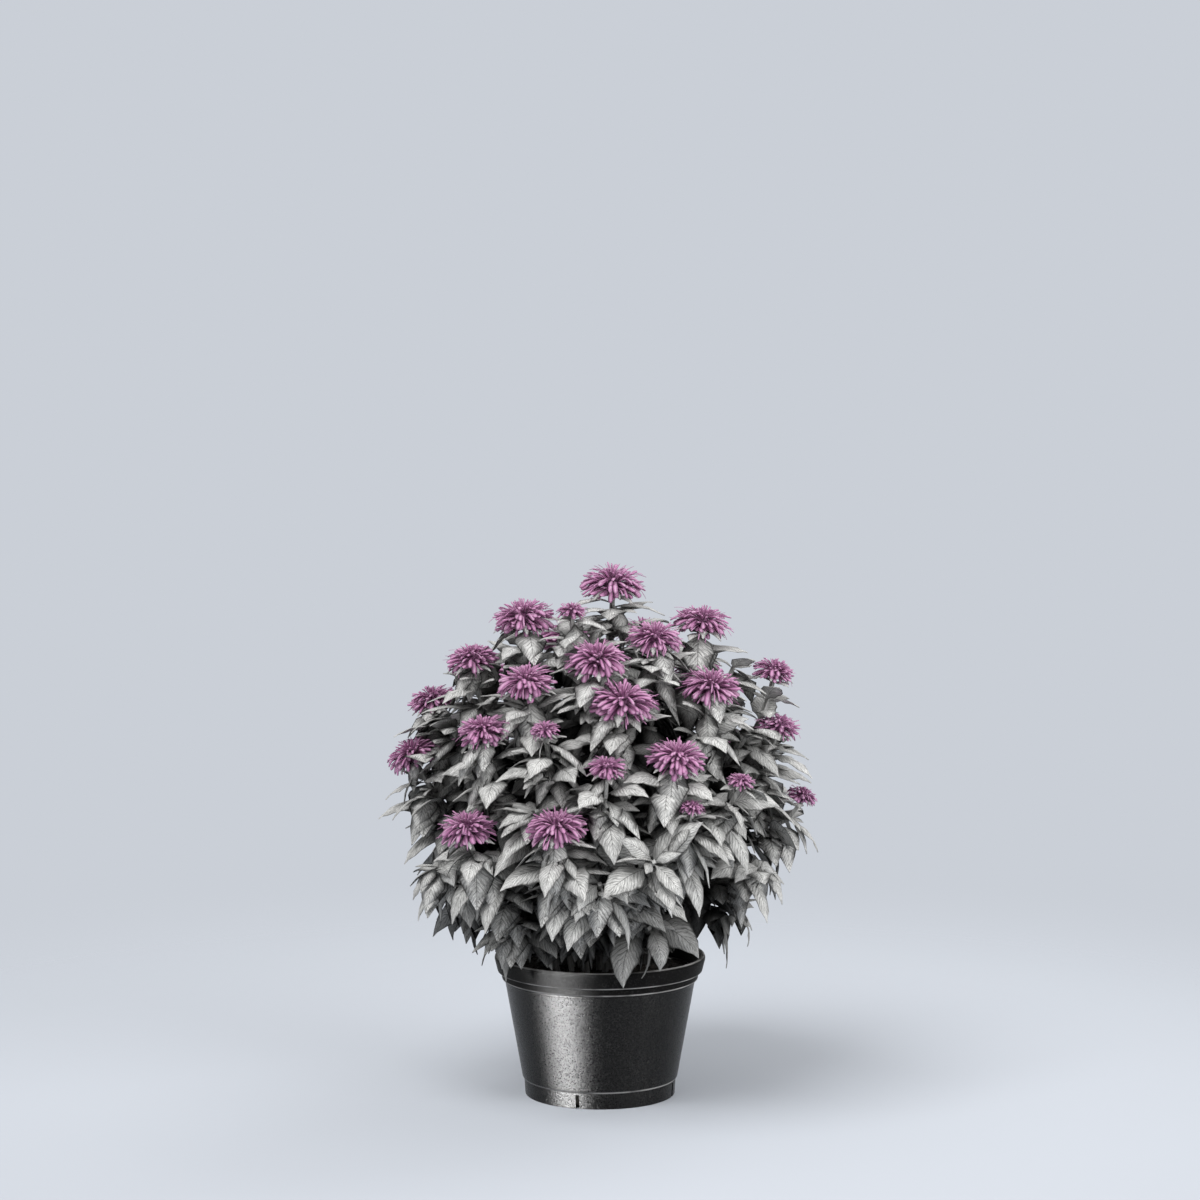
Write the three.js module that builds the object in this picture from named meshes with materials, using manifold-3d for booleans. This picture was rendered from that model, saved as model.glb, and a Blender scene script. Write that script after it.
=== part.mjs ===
// A potted bee balm in full flower: a round bush of square stems with opposite, crosswise leaf pairs,
// purple heads of narrow florets, and the black nursery pot that it grows in.
// Millimetres, +Z up. The origin is the middle of the pot's flat base, and -Y is the front.
import * as THREE from "three";
import { mergeVertices } from "three/addons/utils/BufferGeometryUtils.js";
import Module from "manifold-3d";

const wasm = await Module();
wasm.setup();

const V = (x, y, z) => new THREE.Vector3(x, y, z);
const rad = THREE.MathUtils.degToRad;
const UP = V(0, 0, 1);

// The gap that two pieces keep where they touch.
const SEAT_GAP = 0.3;

// Pot: outer radii and heights, from the flat base up to the rolled rim.
const POT_SIDES = 26;
const POT_HEIGHT = 110;
const POT_WALL = 1.9;
const POT_FLOOR = 2.4;
const BASE_RADIUS = 58.6;
const FOOT_RADIUS = 59.4;
const FOOT_HEIGHT = 13;
const BODY_LOW_RADIUS = 60.8;
const BODY_HIGH_RADIUS = 74.6;
const LEDGE_BOTTOM = 90.5;
const LEDGE_RADIUS = 76.8;
const RIM_BOTTOM = 96.5;
const RIM_LOW_RADIUS = 79.4;
const RIM_RADIUS = 82.5;
const RIM_ROLL = 3;
const RIM_CREST = 1.2;
const RIM_INNER = 3.4;
const EDGE_ROUND = 0.8;
const DRAIN_SLOTS = 4;
const DRAIN_WIDTH = 3;
const DRAIN_HEIGHT = 11;
const DRAIN_CUT = 24;
const DRAIN_CUT_BEYOND = 8;
const DRAIN_BEARING = -107;

// Where the seams of the turned pieces start, in degrees.
const TURN_START = 11;

// Soil: a low mound with gentle lumps, and one plain hole for each stem.
const SOIL_SIDES = 20;
const SOIL_EDGE = 97.5;
const SOIL_MIDDLE = 101;
const SOIL_LUMP = 0.9;
const ROOT_DEPTH = 12;
const ROOT_CLEAR = 3;

// The eye that the places of the heads are told from: each head is given as it is seen against an
// upright plane through the pot's axis, and stands where that line of sight enters the bush.
const EYE_DISTANCE = 2200;
const EYE_HEIGHT = 530;

// The bush: heads stand on the inner dome, and leaf tips stay inside the outline.
const BUSH_MIDDLE = 225;
const HEAD_DOME = { across: 155, up: 190, down: 118 };
const OUTLINE = { across: 176, up: 203, down: 124 };
const DOME_TOP_POWER = 1.75;
const DOME_LOW_POWER = 5;
const HALVINGS = 40;
const LOWEST_TIP = 103;

// Stems: square, and thicker at the soil.
const STEM_TIP_HALF = 1.4;
const STEM_ROOT_HALF = 2;
const SIDE_ROOT_HALF = 1.5;
const STEM_RING_GAP = 58;
const PATH_STEPS = 48;
const STEM_SPREAD = 50;
const SPREAD_HEIGHT = 120;
const WIDEST_SPREAD = rad(53);
const ROOT_PULL = 0.42;
const TIP_PULL = 0.32;
const SIDE_TIP_PULL = 0.35;

// Leaf nodes, counted down from the tip of a shoot: how far below it they stand, the pair of leaves,
// and the smaller pair that grows from the axils crosswise to it.
const NODE_HALF = 1.4;
const ROOT_SPARE = 14;
const FORK_SPARE = 12;
const TIP_SPARE = 0.4;
const COLLAR_BELOW = 4;
const COLLAR_LENGTH_SHARE = 0.5;
const COLLAR_HALF_SHARE = 0.13;
const FLOWER_NODES = [
  { below: 19, pair: { length: 42, half: 10 }, axils: { length: 28, half: 6.2, small: true } },
  { below: 36, pair: { length: 50, half: 11.4 }, axils: { length: 32, half: 7, small: true } },
  { below: 55, pair: { length: 56, half: 12.4 }, axils: { length: 34, half: 7.6, small: true } },
  { below: 77, pair: { length: 58, half: 12.8 }, axils: { length: 34, half: 7.6, small: true } },
];
const UPPER_NODES = [
  { below: 2, pair: { length: 32, half: 7.2 }, axils: { length: 22, half: 5, small: true } },
  { below: 13, pair: { length: 42, half: 9.6 }, axils: { length: 30, half: 6.6, small: true } },
  { below: 32, pair: { length: 48, half: 11 }, axils: { length: 32, half: 7, small: true } },
];
const LOW_NODES = [
  { below: 2, pair: { length: 36, half: 8.2 }, axils: { length: 24, half: 5.4, small: true } },
  { below: 15, pair: { length: 54, half: 12 }, axils: { length: 46, half: 10.2 } },
  { below: 37, pair: { length: 56, half: 12.4 }, axils: { length: 34, half: 7.6, small: true } },
];
const INNERMOST = 0.64;
const LEAF_THICKNESS = 0.7;
const LEAF_CREST_SHARE = 0.15;
const PETIOLE_SHARE = 0.1;
const OVAL_SCALE = 2.68;
const OVAL_ROOT_POWER = 0.55;
const OVAL_TIP_POWER = 0.95;

// How leaves leave their stem and bend down: high up on the plant, and low on it.
const LEAF_CLIMB = 0.5;
const CLIMB_SPREAD = 0.3;
const STEEPEST_HIGH = rad(46);
const STEEPEST_LOW = rad(10);
const LOWEST_RISE = rad(-30);
const BEND_HIGH = rad(44);
const BEND_LOW = rad(68);
const BEND_SPREAD = rad(14);
const SIZE_SPREAD = 0.16;

// Ways that a leaf may bend clear of its neighbours, tried in this order until one is free.
const TURNS = [0, 22, -22, 44, -44, 66, -66].map(rad);
const LIFTS = [0, 22, -20, 42].map(rad);
const SHRINKS = [1, 0.82, 0.64];
const STEEPEST = rad(60);
const OUTWARD_TURN = 0.4;
const OUTWARD_FULL = 90;
const LOW_FROM = 300;
const LOW_OVER = 140;
const LEAF_CLEARANCE = 0.7;
const ROLL_SHARE = 0.8;
const ROLL_SPREAD = rad(26);
const MOST_ROLL = rad(60);
const ROLLED_AT = 0.3;
const LEAST_COMMON = 1e-4;
const LEAST_OUTWARD = -1;

// Flower heads as seen: across and up on the plane, full width, lean from upright in degrees, and the
// head whose stem a side shoot grows from. The last rows stand at the back, seen from behind.
const HEADS = [
  { across: 10, up: 405, wide: 52, lean: 5 },
  { across: -60, up: 378, wide: 50, lean: 8 },
  { across: -22, up: 380, wide: 24, lean: 5, from: 1 },
  { across: 80, up: 374, wide: 48, lean: 12 },
  { across: 43, up: 361, wide: 44, lean: 10 },
  { across: -100, up: 344, wide: 42, lean: 9 },
  { across: -2, up: 345, wide: 50, lean: 13 },
  { across: 136, up: 334, wide: 36, lean: 9 },
  { across: -58, up: 327, wide: 46, lean: 14 },
  { across: 87, up: 324, wide: 50, lean: 10 },
  { across: 18, up: 313, wide: 54, lean: 15 },
  { across: -131, up: 312, wide: 40, lean: 14 },
  { across: -91, up: 288, wide: 42, lean: 13 },
  { across: -43, up: 287, wide: 22, lean: 18, from: 8 },
  { across: 140, up: 291, wide: 36, lean: 16 },
  { across: 60, up: 268, wide: 46, lean: 18 },
  { across: -147, up: 270, wide: 44, lean: 22 },
  { across: 5, up: 258, wide: 30, lean: 14, from: 10 },
  { across: 110, up: 247, wide: 22, lean: 14, from: 9 },
  { across: 72, up: 226, wide: 20, lean: 10, from: 15 },
  { across: 158, up: 236, wide: 26, lean: 16, from: 14 },
  { across: -104, up: 212, wide: 46, lean: 12 },
  { across: -34, up: 213, wide: 48, lean: 10 },
  { across: 36, up: 350, wide: 44, lean: 10, behind: true },
  { across: -30, up: 346, wide: 50, lean: 12, behind: true },
  { across: 84, up: 318, wide: 44, lean: 12, behind: true },
  { across: -98, up: 318, wide: 44, lean: 14, behind: true },
  { across: 28, up: 310, wide: 48, lean: 15, behind: true, from: 24 },
  { across: 102, up: 258, wide: 40, lean: 16, behind: true, from: 25 },
  { across: -54, up: 272, wide: 44, lean: 16, behind: true },
  { across: 60, up: 276, wide: 46, lean: 16, behind: true },
  { across: -128, up: 254, wide: 38, lean: 18, behind: true, from: 26 },
  { across: 4, up: 230, wide: 44, lean: 14, behind: true, from: 29 },
  { across: 120, up: 212, wide: 38, lean: 14, behind: true, from: 30 },
  { across: -84, up: 206, wide: 42, lean: 14, behind: true, from: 29 },
];
const SMALL_HEAD = 32;
const LARGE_HEAD = 51;
const SEAT_SHARE = 0.2;
const SIDE_SHOOT_FORK = 0.5;
const FORK_STEP = 7;
const FORK_RISE = 0.8;
const FORK_BEND = 6;
const SHOOT_TWIST = rad(44);
const TWIST_STEP = rad(22);

// Leafy side shoots with no flower, which fill the foot of the bush: one turned to the viewer as a
// rosette, and a ring of others by rule.
const ROSETTE = { across: 42, up: 182, lean: 66 };
const ROSETTE_BEND = 0.5;
const LOW_SHOOTS = 18;
const LOW_BEARING = -130;
const LOW_PLACES = [
  { reach: 108, height: 148, lean: 74 },
  { reach: 136, height: 240, lean: 44 },
  { reach: 142, height: 188, lean: 62 },
];
const LOW_SHOOT_FORK = 0.3;

// Leafy side shoots that fill the crown between the heads.
const UPPER_PLACES = [
  { x: -24, y: 6, z: 372, lean: 6 },
  { x: 32, y: 10, z: 366, lean: 10 },
  { x: -66, y: 16, z: 338, lean: 20 },
  { x: 70, y: 20, z: 340, lean: 20 },
  { x: 4, y: 60, z: 352, lean: 18 },
  { x: 116, y: -30, z: 288, lean: 34 },
  { x: -118, y: -24, z: 300, lean: 34 },
  { x: 104, y: -6, z: 336, lean: 26 },
  { x: -88, y: 0, z: 346, lean: 24 },
  { x: 62, y: 62, z: 322, lean: 20 },
  { x: -60, y: 58, z: 326, lean: 20 },
  { x: -22, y: 92, z: 316, lean: 22 },
  { x: 118, y: 46, z: 280, lean: 34 },
  { x: -118, y: 46, z: 284, lean: 34 },
];
const UPPER_SHOOT_FORK = 0.55;

// A spread-out number from 0 to 1 for a leaf or petal: the same one each time.
function draw(shoot, item, channel) {
  const n = shoot * 0.7548776662 + item * 0.5698402911 + channel * 0.6180339887;
  return n - Math.floor(n);
}

// Share of the way from a dome's middle to its skin. The top is a rounded cone, and the foot is boxy.
function domeShare(dome, p) {
  const high = p.z > BUSH_MIDDLE;
  const power = high ? DOME_TOP_POWER : DOME_LOW_POWER;
  const rise = Math.abs(p.z - BUSH_MIDDLE) / (high ? dome.up : dome.down);
  const sum = Math.pow(Math.hypot(p.x, p.y) / dome.across, power) + Math.pow(rise, power);
  return Math.pow(sum, 1 / power);
}

// The point where the line of sight to a place on the plane enters the dome of heads, or the place
// itself where the line misses the dome.
function placeSeen({ across, up, behind }) {
  const eye = V(0, behind ? EYE_DISTANCE : -EYE_DISTANCE, EYE_HEIGHT);
  const onPlane = V(across, 0, up);
  let outside = (2 * HEAD_DOME.across) / EYE_DISTANCE;
  let inside = 0;
  if (domeShare(HEAD_DOME, onPlane) > 1) return onPlane;
  for (let i = 0; i < HALVINGS; i++) {
    const share = (outside + inside) / 2;
    if (domeShare(HEAD_DOME, onPlane.clone().lerp(eye, share)) > 1) outside = share;
    else inside = share;
  }
  return onPlane.lerp(eye, inside);
}

// Unit direction that leans from upright, away from the pot's axis.
function leaning(place, lean) {
  const out = V(place.x, place.y, 0).normalize();
  return out.multiplyScalar(Math.sin(rad(lean))).addScaledVector(UP, Math.cos(rad(lean)));
}

// A path as points with the length run from its root: an optional straight root, then a cubic curve.
function pathOf(rootEnd, controls) {
  const curve = new THREE.CubicBezierCurve3(...controls);
  const points = rootEnd ? [rootEnd] : [];
  for (let i = 0; i <= PATH_STEPS; i++) points.push(curve.getPoint(i / PATH_STEPS));
  const run = [0];
  for (let i = 1; i < points.length; i++) run.push(run[i - 1] + points[i].distanceTo(points[i - 1]));
  return { points, run, length: run[run.length - 1] };
}

// Point and direction on a path at a length run from its root.
function along(path, length) {
  let i = 1;
  while (i < path.points.length - 1 && path.run[i] < length) i++;
  const share = (length - path.run[i - 1]) / (path.run[i] - path.run[i - 1]);
  const point = path.points[i - 1].clone().lerp(path.points[i], share);
  const direction = path.points[i].clone().sub(path.points[i - 1]).normalize();
  return { point, direction };
}

// Main stems rise from the soil, fanned out in the order that their heads stand on the dome.
function mainShoot(head, number) {
  const place = placeSeen(head);
  const axis = leaning(place, head.lean);
  const reach = Math.hypot(place.x, place.y);
  const spread = Math.atan2(reach, place.z - SPREAD_HEIGHT) / WIDEST_SPREAD;
  const foot = V(place.x, place.y, 0).multiplyScalar((STEM_SPREAD * spread) / reach);
  const rootEnd = foot.clone().setZ(SOIL_MIDDLE - ROOT_DEPTH);
  const start = foot.clone().setZ(SOIL_MIDDLE + ROOT_CLEAR);
  const seat = seatOf(place, axis, head);
  const gap = seat.distanceTo(start);
  const controls = [
    start,
    start.clone().addScaledVector(UP, ROOT_PULL * (seat.z - start.z)),
    seat.clone().addScaledVector(axis, -TIP_PULL * gap),
    seat,
  ];
  const bearing = Math.atan2(axis.y, axis.x) + rad(360) * draw(number, 0, 5);
  const side = V(Math.cos(bearing), Math.sin(bearing), 0);
  return { number, path: pathOf(rootEnd, controls), axis, side, wide: head.wide, isMain: true };
}

// The top of the stem under a head.
function seatOf(place, axis, head) {
  return place.clone().addScaledVector(axis, -SEAT_SHARE * head.wide);
}

// Tips of the side shoots of each main stem, with the share of its length at which they leave it.
function sideTips(mains) {
  const tips = [];
  HEADS.forEach((head, number) => {
    if (head.from === undefined) return;
    const place = placeSeen(head);
    const axis = leaning(place, head.lean);
    const main = mains.find((shoot) => shoot.number === head.from);
    const seat = seatOf(place, axis, head);
    tips.push({ number, main, seat, axis, wide: head.wide, fork: SIDE_SHOOT_FORK });
  });
  const addLeafy = (seat, lean, fork, nodes, spread = false) => {
    const gapTo = ({ path }) => along(path, path.length * fork).point.distanceTo(seat);
    const main = mains.reduce((best, other) => (gapTo(other) < gapTo(best) ? other : best));
    const number = HEADS.length + tips.filter((tip) => tip.nodes).length;
    tips.push({ number, main, seat, axis: leaning(seat, lean), wide: 0, fork, nodes, spread });
  };
  addLeafy(placeSeen(ROSETTE), ROSETTE.lean, LOW_SHOOT_FORK, LOW_NODES, true);
  for (let i = 0; i < LOW_SHOOTS; i++) {
    const place = LOW_PLACES[i % LOW_PLACES.length];
    const bearing = rad(LOW_BEARING + (360 * i) / LOW_SHOOTS);
    const seat = V(Math.cos(bearing), Math.sin(bearing), 0).multiplyScalar(place.reach);
    addLeafy(seat.setZ(place.height), place.lean, LOW_SHOOT_FORK, LOW_NODES);
  }
  UPPER_PLACES.forEach(({ x, y, z, lean }) => addLeafy(V(x, y, z), lean, UPPER_SHOOT_FORK, UPPER_NODES));
  return tips;
}

// The heights on a main stem at which its side shoots leave it, the one with the lowest tip first.
function forksOf(main, tips) {
  const own = tips.filter((tip) => tip.main === main);
  own.sort((a, b) => a.fork - b.fork || a.seat.z - b.seat.z);
  let last = 0;
  return own.map((tip) => {
    last = Math.max(main.path.length * tip.fork, last + FORK_STEP);
    return { at: last, tip };
  });
}

// A side shoot, from the side of its main stem that faces its tip most nearly.
function sideShoot(ring, next, tip) {
  const toward = tip.seat.clone().sub(ring.point);
  const normals = ring.sides.flatMap((side) => [side.clone(), side.clone().negate()]);
  const [face] = [0, 2, 1, 3]
    .map((number, k) => [number, normals[k].dot(toward)])
    .reduce((best, other) => (other[1] > best[1] ? other : best));
  const { root, normal } = sideOf(ring, next, face);
  const leaving = normal.addScaledVector(ring.direction, FORK_RISE).normalize();
  const gap = tip.seat.distanceTo(root);
  const controls = [
    root,
    root.clone().addScaledVector(leaving, TIP_PULL * gap),
    tip.seat.clone().addScaledVector(tip.axis, -SIDE_TIP_PULL * gap),
    tip.seat,
  ];
  return { ...tip, face, path: pathOf(null, controls), side: ring.direction.clone().negate() };
}

// One side of the stem between two rings: its corners, its middle and the way that it faces.
function sideOf(ring, next, face) {
  const turnOn = (face + 1) % 4;
  const corners = [ring.corners[face], ring.corners[turnOn], next.corners[turnOn], next.corners[face]];
  const root = corners.reduce((sum, corner) => sum.addScaledVector(corner, 0.25), V(0, 0, 0));
  const normal = ring.sides[face % 2].clone().multiplyScalar(face < 2 ? 1 : -1);
  return { corners, root, normal };
}

// Every shoot of the plant with its cross-sections: each main stem, and the side shoots on it.
function shootsOfPlant() {
  const mains = [];
  HEADS.forEach((head, number) => {
    if (head.from === undefined) mains.push(mainShoot(head, number));
  });
  const tips = sideTips(mains);
  const shoots = [];
  mains.forEach((main) => {
    main.rings = ringsOf(main, nodesOf(main), forksOf(main, tips));
    main.children = [];
    shoots.push(main);
    main.rings.forEach((ring, i) => {
      if (!ring.tip) return;
      const child = sideShoot(ring, main.rings[i + 1], ring.tip);
      child.rings = ringsOf(child, nodesOf(child), []);
      child.children = [];
      main.children.push({ ring: i, face: child.face, shoot: child });
      shoots.push(child);
    });
  });
  return shoots.sort((a, b) => a.number - b.number);
}

// The leaf nodes of a shoot that are far enough from its root and near enough to the outline.
function nodesOf(shoot) {
  const collar = {
    below: COLLAR_BELOW,
    pair: {
      length: COLLAR_LENGTH_SHARE * Math.max(shoot.wide, SMALL_HEAD),
      half: COLLAR_HALF_SHARE * Math.max(shoot.wide, SMALL_HEAD),
      small: true,
    },
  };
  const nodes = shoot.nodes || [collar, ...FLOWER_NODES];
  const spare = shoot.isMain ? ROOT_DEPTH + ROOT_CLEAR + ROOT_SPARE : FORK_SPARE;
  return nodes.filter((node) => {
    const length = shoot.path.length - node.below;
    return length > spare && domeShare(OUTLINE, along(shoot.path, length).point) > INNERMOST;
  });
}

// Square cross-sections up a shoot. The leaves of a node, or a side shoot, grow from the sides of the
// short stretch between two of them.
function ringsOf(shoot, nodes, forks) {
  const total = shoot.path.length;
  const stops = [{ at: 0 }, { at: shoot.isMain ? ROOT_DEPTH + ROOT_CLEAR : FORK_BEND }];
  forks.forEach(({ at, tip }) => {
    stops.push({ at: at - NODE_HALF, tip });
    stops.push({ at: at + NODE_HALF });
  });
  nodes.forEach((node) => {
    stops.push({ at: total - node.below - NODE_HALF, node });
    stops.push({ at: Math.min(total - node.below + NODE_HALF, total - TIP_SPARE) });
  });
  stops.push({ at: total });
  stops.sort((a, b) => a.at - b.at);
  const filled = [stops[0]];
  stops.slice(1).forEach((stop) => {
    const last = filled[filled.length - 1].at;
    const extra = Math.floor((stop.at - last) / STEM_RING_GAP);
    for (let i = 1; i <= extra; i++) filled.push({ at: last + ((stop.at - last) * i) / (extra + 1) });
    filled.push(stop);
  });
  let side = shoot.side;
  let twisted = 0;
  const rootHalf = shoot.isMain ? STEM_ROOT_HALF : SIDE_ROOT_HALF;
  return filled.map(({ at, node, tip }) => {
    const { point, direction } = along(shoot.path, at);
    side = side.clone().addScaledVector(direction, -side.dot(direction)).normalize();
    const twist = !shoot.isMain && at > 0 && twisted < SHOOT_TWIST ? TWIST_STEP : 0;
    side.applyAxisAngle(direction, twist);
    twisted += twist;
    const across = direction.clone().cross(side);
    const half = rootHalf + ((STEM_TIP_HALF - rootHalf) * at) / total;
    const corners = [[1, -1], [1, 1], [-1, 1], [-1, -1]].map(([a, b]) =>
      point.clone().addScaledVector(side, a * half).addScaledVector(across, b * half));
    return { corners, point, direction, sides: [side, across], node, tip };
  });
}

// How a leaf leaves its stem: where, which way, how steeply, and how far it bends down by its tip.
// Leaves far from the middle turn towards the light outside, and low ones hang more steeply.
function leafSlot(shoot, ring, next, size, nodeNumber, face) {
  const { corners, root, normal } = sideOf(ring, next, face);
  const item = nodeNumber * 4 + face;
  const climb = LEAF_CLIMB + CLIMB_SPREAD * draw(shoot.number, item, 1);
  const leaving = normal.clone().addScaledVector(ring.direction, climb);
  const outward = Math.atan2(root.y, root.x);
  const swing = Math.atan2(leaving.y, leaving.x) - outward;
  const wrapped = Math.atan2(Math.sin(swing), Math.cos(swing));
  const turn = shoot.spread ? 0 : OUTWARD_TURN * Math.min(1, Math.hypot(root.x, root.y) / OUTWARD_FULL);
  const low = shoot.spread ? 0 : THREE.MathUtils.clamp((LOW_FROM - root.z) / LOW_OVER, 0, 1);
  const steepest = THREE.MathUtils.lerp(STEEPEST_HIGH, STEEPEST_LOW, low);
  const natural = Math.asin(leaving.z / leaving.length());
  const heading = outward + wrapped * (1 - turn);
  const rise = THREE.MathUtils.clamp(natural, LOWEST_RISE, steepest);
  const shrink = 1 - SIZE_SPREAD * draw(shoot.number, item, 3);
  const bend = THREE.MathUtils.lerp(BEND_HIGH, BEND_LOW, low) + BEND_SPREAD * draw(shoot.number, item, 2);
  return {
    shoot: shoot.number,
    nodeNumber,
    face,
    small: size.small,
    root,
    normal,
    side: corners,
    heading,
    rise,
    bend: shoot.spread ? ROSETTE_BEND * bend : bend,
    roll: rollTowards(ring.direction, heading, rise) + ROLL_SPREAD * (draw(shoot.number, item, 4) - 0.5),
    length: size.length * shrink,
    half: size.half * shrink,
  };
}

// The roll that turns a blade's face towards the way that its stem grows, as far as it may.
function rollTowards(direction, heading, rise) {
  const side = V(-Math.sin(heading), Math.cos(heading), 0);
  const ahead = V(Math.cos(heading), Math.sin(heading), 0);
  const face = ahead.multiplyScalar(-Math.sin(rise)).addScaledVector(UP, Math.cos(rise));
  const roll = ROLL_SHARE * Math.atan2(-direction.dot(side), direction.dot(face));
  return THREE.MathUtils.clamp(roll, -MOST_ROLL, MOST_ROLL);
}

// A leaf slot turned, lifted and shrunk to the numbered way of bending clear.
function posed(slot, way) {
  const shrink = SHRINKS[Math.floor(way / (TURNS.length * LIFTS.length))];
  const lift = LIFTS[Math.floor(way / TURNS.length) % LIFTS.length];
  return {
    ...slot,
    heading: slot.heading + TURNS[way % TURNS.length],
    rise: Math.min(slot.rise + lift, STEEPEST),
    length: slot.length * shrink,
    half: slot.half * shrink,
  };
}

// Point of a leaf's middle line, and its side and face directions there. The line leaves at the rise
// angle and bends down evenly, so it is an arc of a circle; the blade is rolled a little about it.
function leafLine(leaf, share) {
  const bent = leaf.rise - leaf.bend * share;
  const out = (leaf.length * (Math.sin(leaf.rise) - Math.sin(bent))) / leaf.bend;
  const rise = (leaf.length * (Math.cos(bent) - Math.cos(leaf.rise))) / leaf.bend;
  const ahead = V(Math.cos(leaf.heading), Math.sin(leaf.heading), 0);
  const point = leaf.root.clone().addScaledVector(ahead, out).addScaledVector(UP, rise);
  const face = ahead.clone().multiplyScalar(-Math.sin(bent)).addScaledVector(UP, Math.cos(bent));
  const side = V(-Math.sin(leaf.heading), Math.cos(leaf.heading), 0);
  const turn = leaf.roll * Math.min(1, share / ROLLED_AT);
  const rolledSide = side.clone().multiplyScalar(Math.cos(turn)).addScaledVector(face, Math.sin(turn));
  const rolledFace = face.clone().multiplyScalar(Math.cos(turn)).addScaledVector(side, -Math.sin(turn));
  return { point, side: rolledSide, face: rolledFace };
}

// Half width of a blade at a share of its length: a narrow stalk, then an oval drawn out to a point.
function bladeHalf(leaf, share) {
  const u = Math.max(0, (share - PETIOLE_SHARE) / (1 - PETIOLE_SHARE));
  return leaf.half * OVAL_SCALE * Math.pow(u, OVAL_ROOT_POWER) * Math.pow(1 - u, OVAL_TIP_POWER);
}

// Half of a blade's height from its flat underside to the crest along its middle.
function halfCrest(leaf, share) {
  return (LEAF_THICKNESS + LEAF_CREST_SHARE * bladeHalf(leaf, share)) / 2;
}

// Edge point of a blade, on its right (+1) or left (-1) as seen from beyond its tip.
function edgePoint(leaf, share, sign, extra = 0) {
  const { point, side, face } = leafLine(leaf, share);
  return point
    .addScaledVector(side, sign * (bladeHalf(leaf, share) + extra))
    .addScaledVector(face, -halfCrest(leaf, share));
}

// Crest (+1) or underside (-1) of a blade on its middle line.
function middlePoint(leaf, share, sign, extra = 0) {
  const { point, face } = leafLine(leaf, share);
  return point.addScaledVector(face, sign * (halfCrest(leaf, share) + extra));
}

// Corners and triangles of one closed skin.
class Skin {
  corners = [];
  triangles = [];

  add(point) {
    this.corners.push(point);
    return this.corners.length - 1;
  }

  // A face through a loop of corners, which runs counterclockwise as seen from outside. One of four
  // corners is split so that it bulges outwards.
  face(...loop) {
    if (loop.length === 4 && this.bulge(...loop) > 0) loop.push(loop.shift());
    for (let i = 1; i < loop.length - 1; i++) this.triangles.push([loop[0], loop[i], loop[i + 1]]);
  }

  // How far the fourth of four corners lies outside the plane of the others, times an area.
  bulge(...loop) {
    const [a, b, c, d] = loop.map((corner) => this.corners[corner]);
    const normal = b.clone().sub(a).cross(c.clone().sub(a));
    return normal.dot(d.clone().sub(a));
  }

  solid() {
    const vertProperties = new Float32Array(this.corners.flatMap((p) => [p.x, p.y, p.z]));
    const triVerts = new Uint32Array(this.triangles.flat());
    return new wasm.Manifold(new wasm.Mesh({ numProp: 3, vertProperties, triVerts }));
  }
}

const BLADE_RINGS = [0.3, 0.68];
const SMALL_RINGS = [0.42];
const GUARD_NECK = 0.1;
const STEM_CLEARANCE = 0.45;

// Joins a loop of corners to the next one out.
function skinBetween(skin, inner, outer) {
  inner.forEach((corner, k) => {
    const n = (k + 1) % inner.length;
    skin.face(corner, inner[n], outer[n], outer[k]);
  });
}

// Closes a skin from its last loop of corners to a point.
function skinToTip(skin, last, tip) {
  last.forEach((corner, k) => skin.face(corner, last[(k + 1) % last.length], tip));
}

// A loop of four corners, started so that its first two lie most nearly along a leaf's underside.
function startedUnder(leaf, loop, placeOf) {
  const { side } = leafLine(leaf, 0);
  const places = loop.map(placeOf);
  const along = places.map((place, k) => places[(k + 1) % 4].clone().sub(place).dot(side));
  const first = along.indexOf(Math.max(...along));
  return [...loop.slice(first), ...loop.slice(0, first)];
}

// Grows a leaf on a skin from the loop of corners of a side of its stem. The blade has a flat
// underside and a crested top.
function growLeaf(skin, leaf, loop) {
  const [bl, br, tr, tl] = startedUnder(leaf, loop, (corner) => skin.corners[corner]);
  const rings = (leaf.small ? SMALL_RINGS : BLADE_RINGS).map((share) => [
    skin.add(edgePoint(leaf, share, 1)),
    skin.add(middlePoint(leaf, share, 1)),
    skin.add(edgePoint(leaf, share, -1)),
  ]);
  const [right, crest, left] = rings[0];
  skin.face(bl, br, right, left);
  skin.face(br, tr, crest, right);
  skin.face(tr, tl, crest);
  skin.face(tl, bl, left, crest);
  rings.slice(1).forEach((ring, i) => skinBetween(skin, rings[i], ring));
  skinToTip(skin, rings[rings.length - 1], skin.add(leafLine(leaf, 1).point));
}

// A leaf alone as a closed solid, which ends at the side of the stem that it grows from.
function leafSolid(leaf) {
  const skin = new Skin();
  const loop = leaf.side.map((corner) => skin.add(corner));
  skin.face(...loop);
  skin.triangles.forEach((triangle) => triangle.reverse());
  growLeaf(skin, leaf, loop);
  return skin.solid();
}

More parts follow.
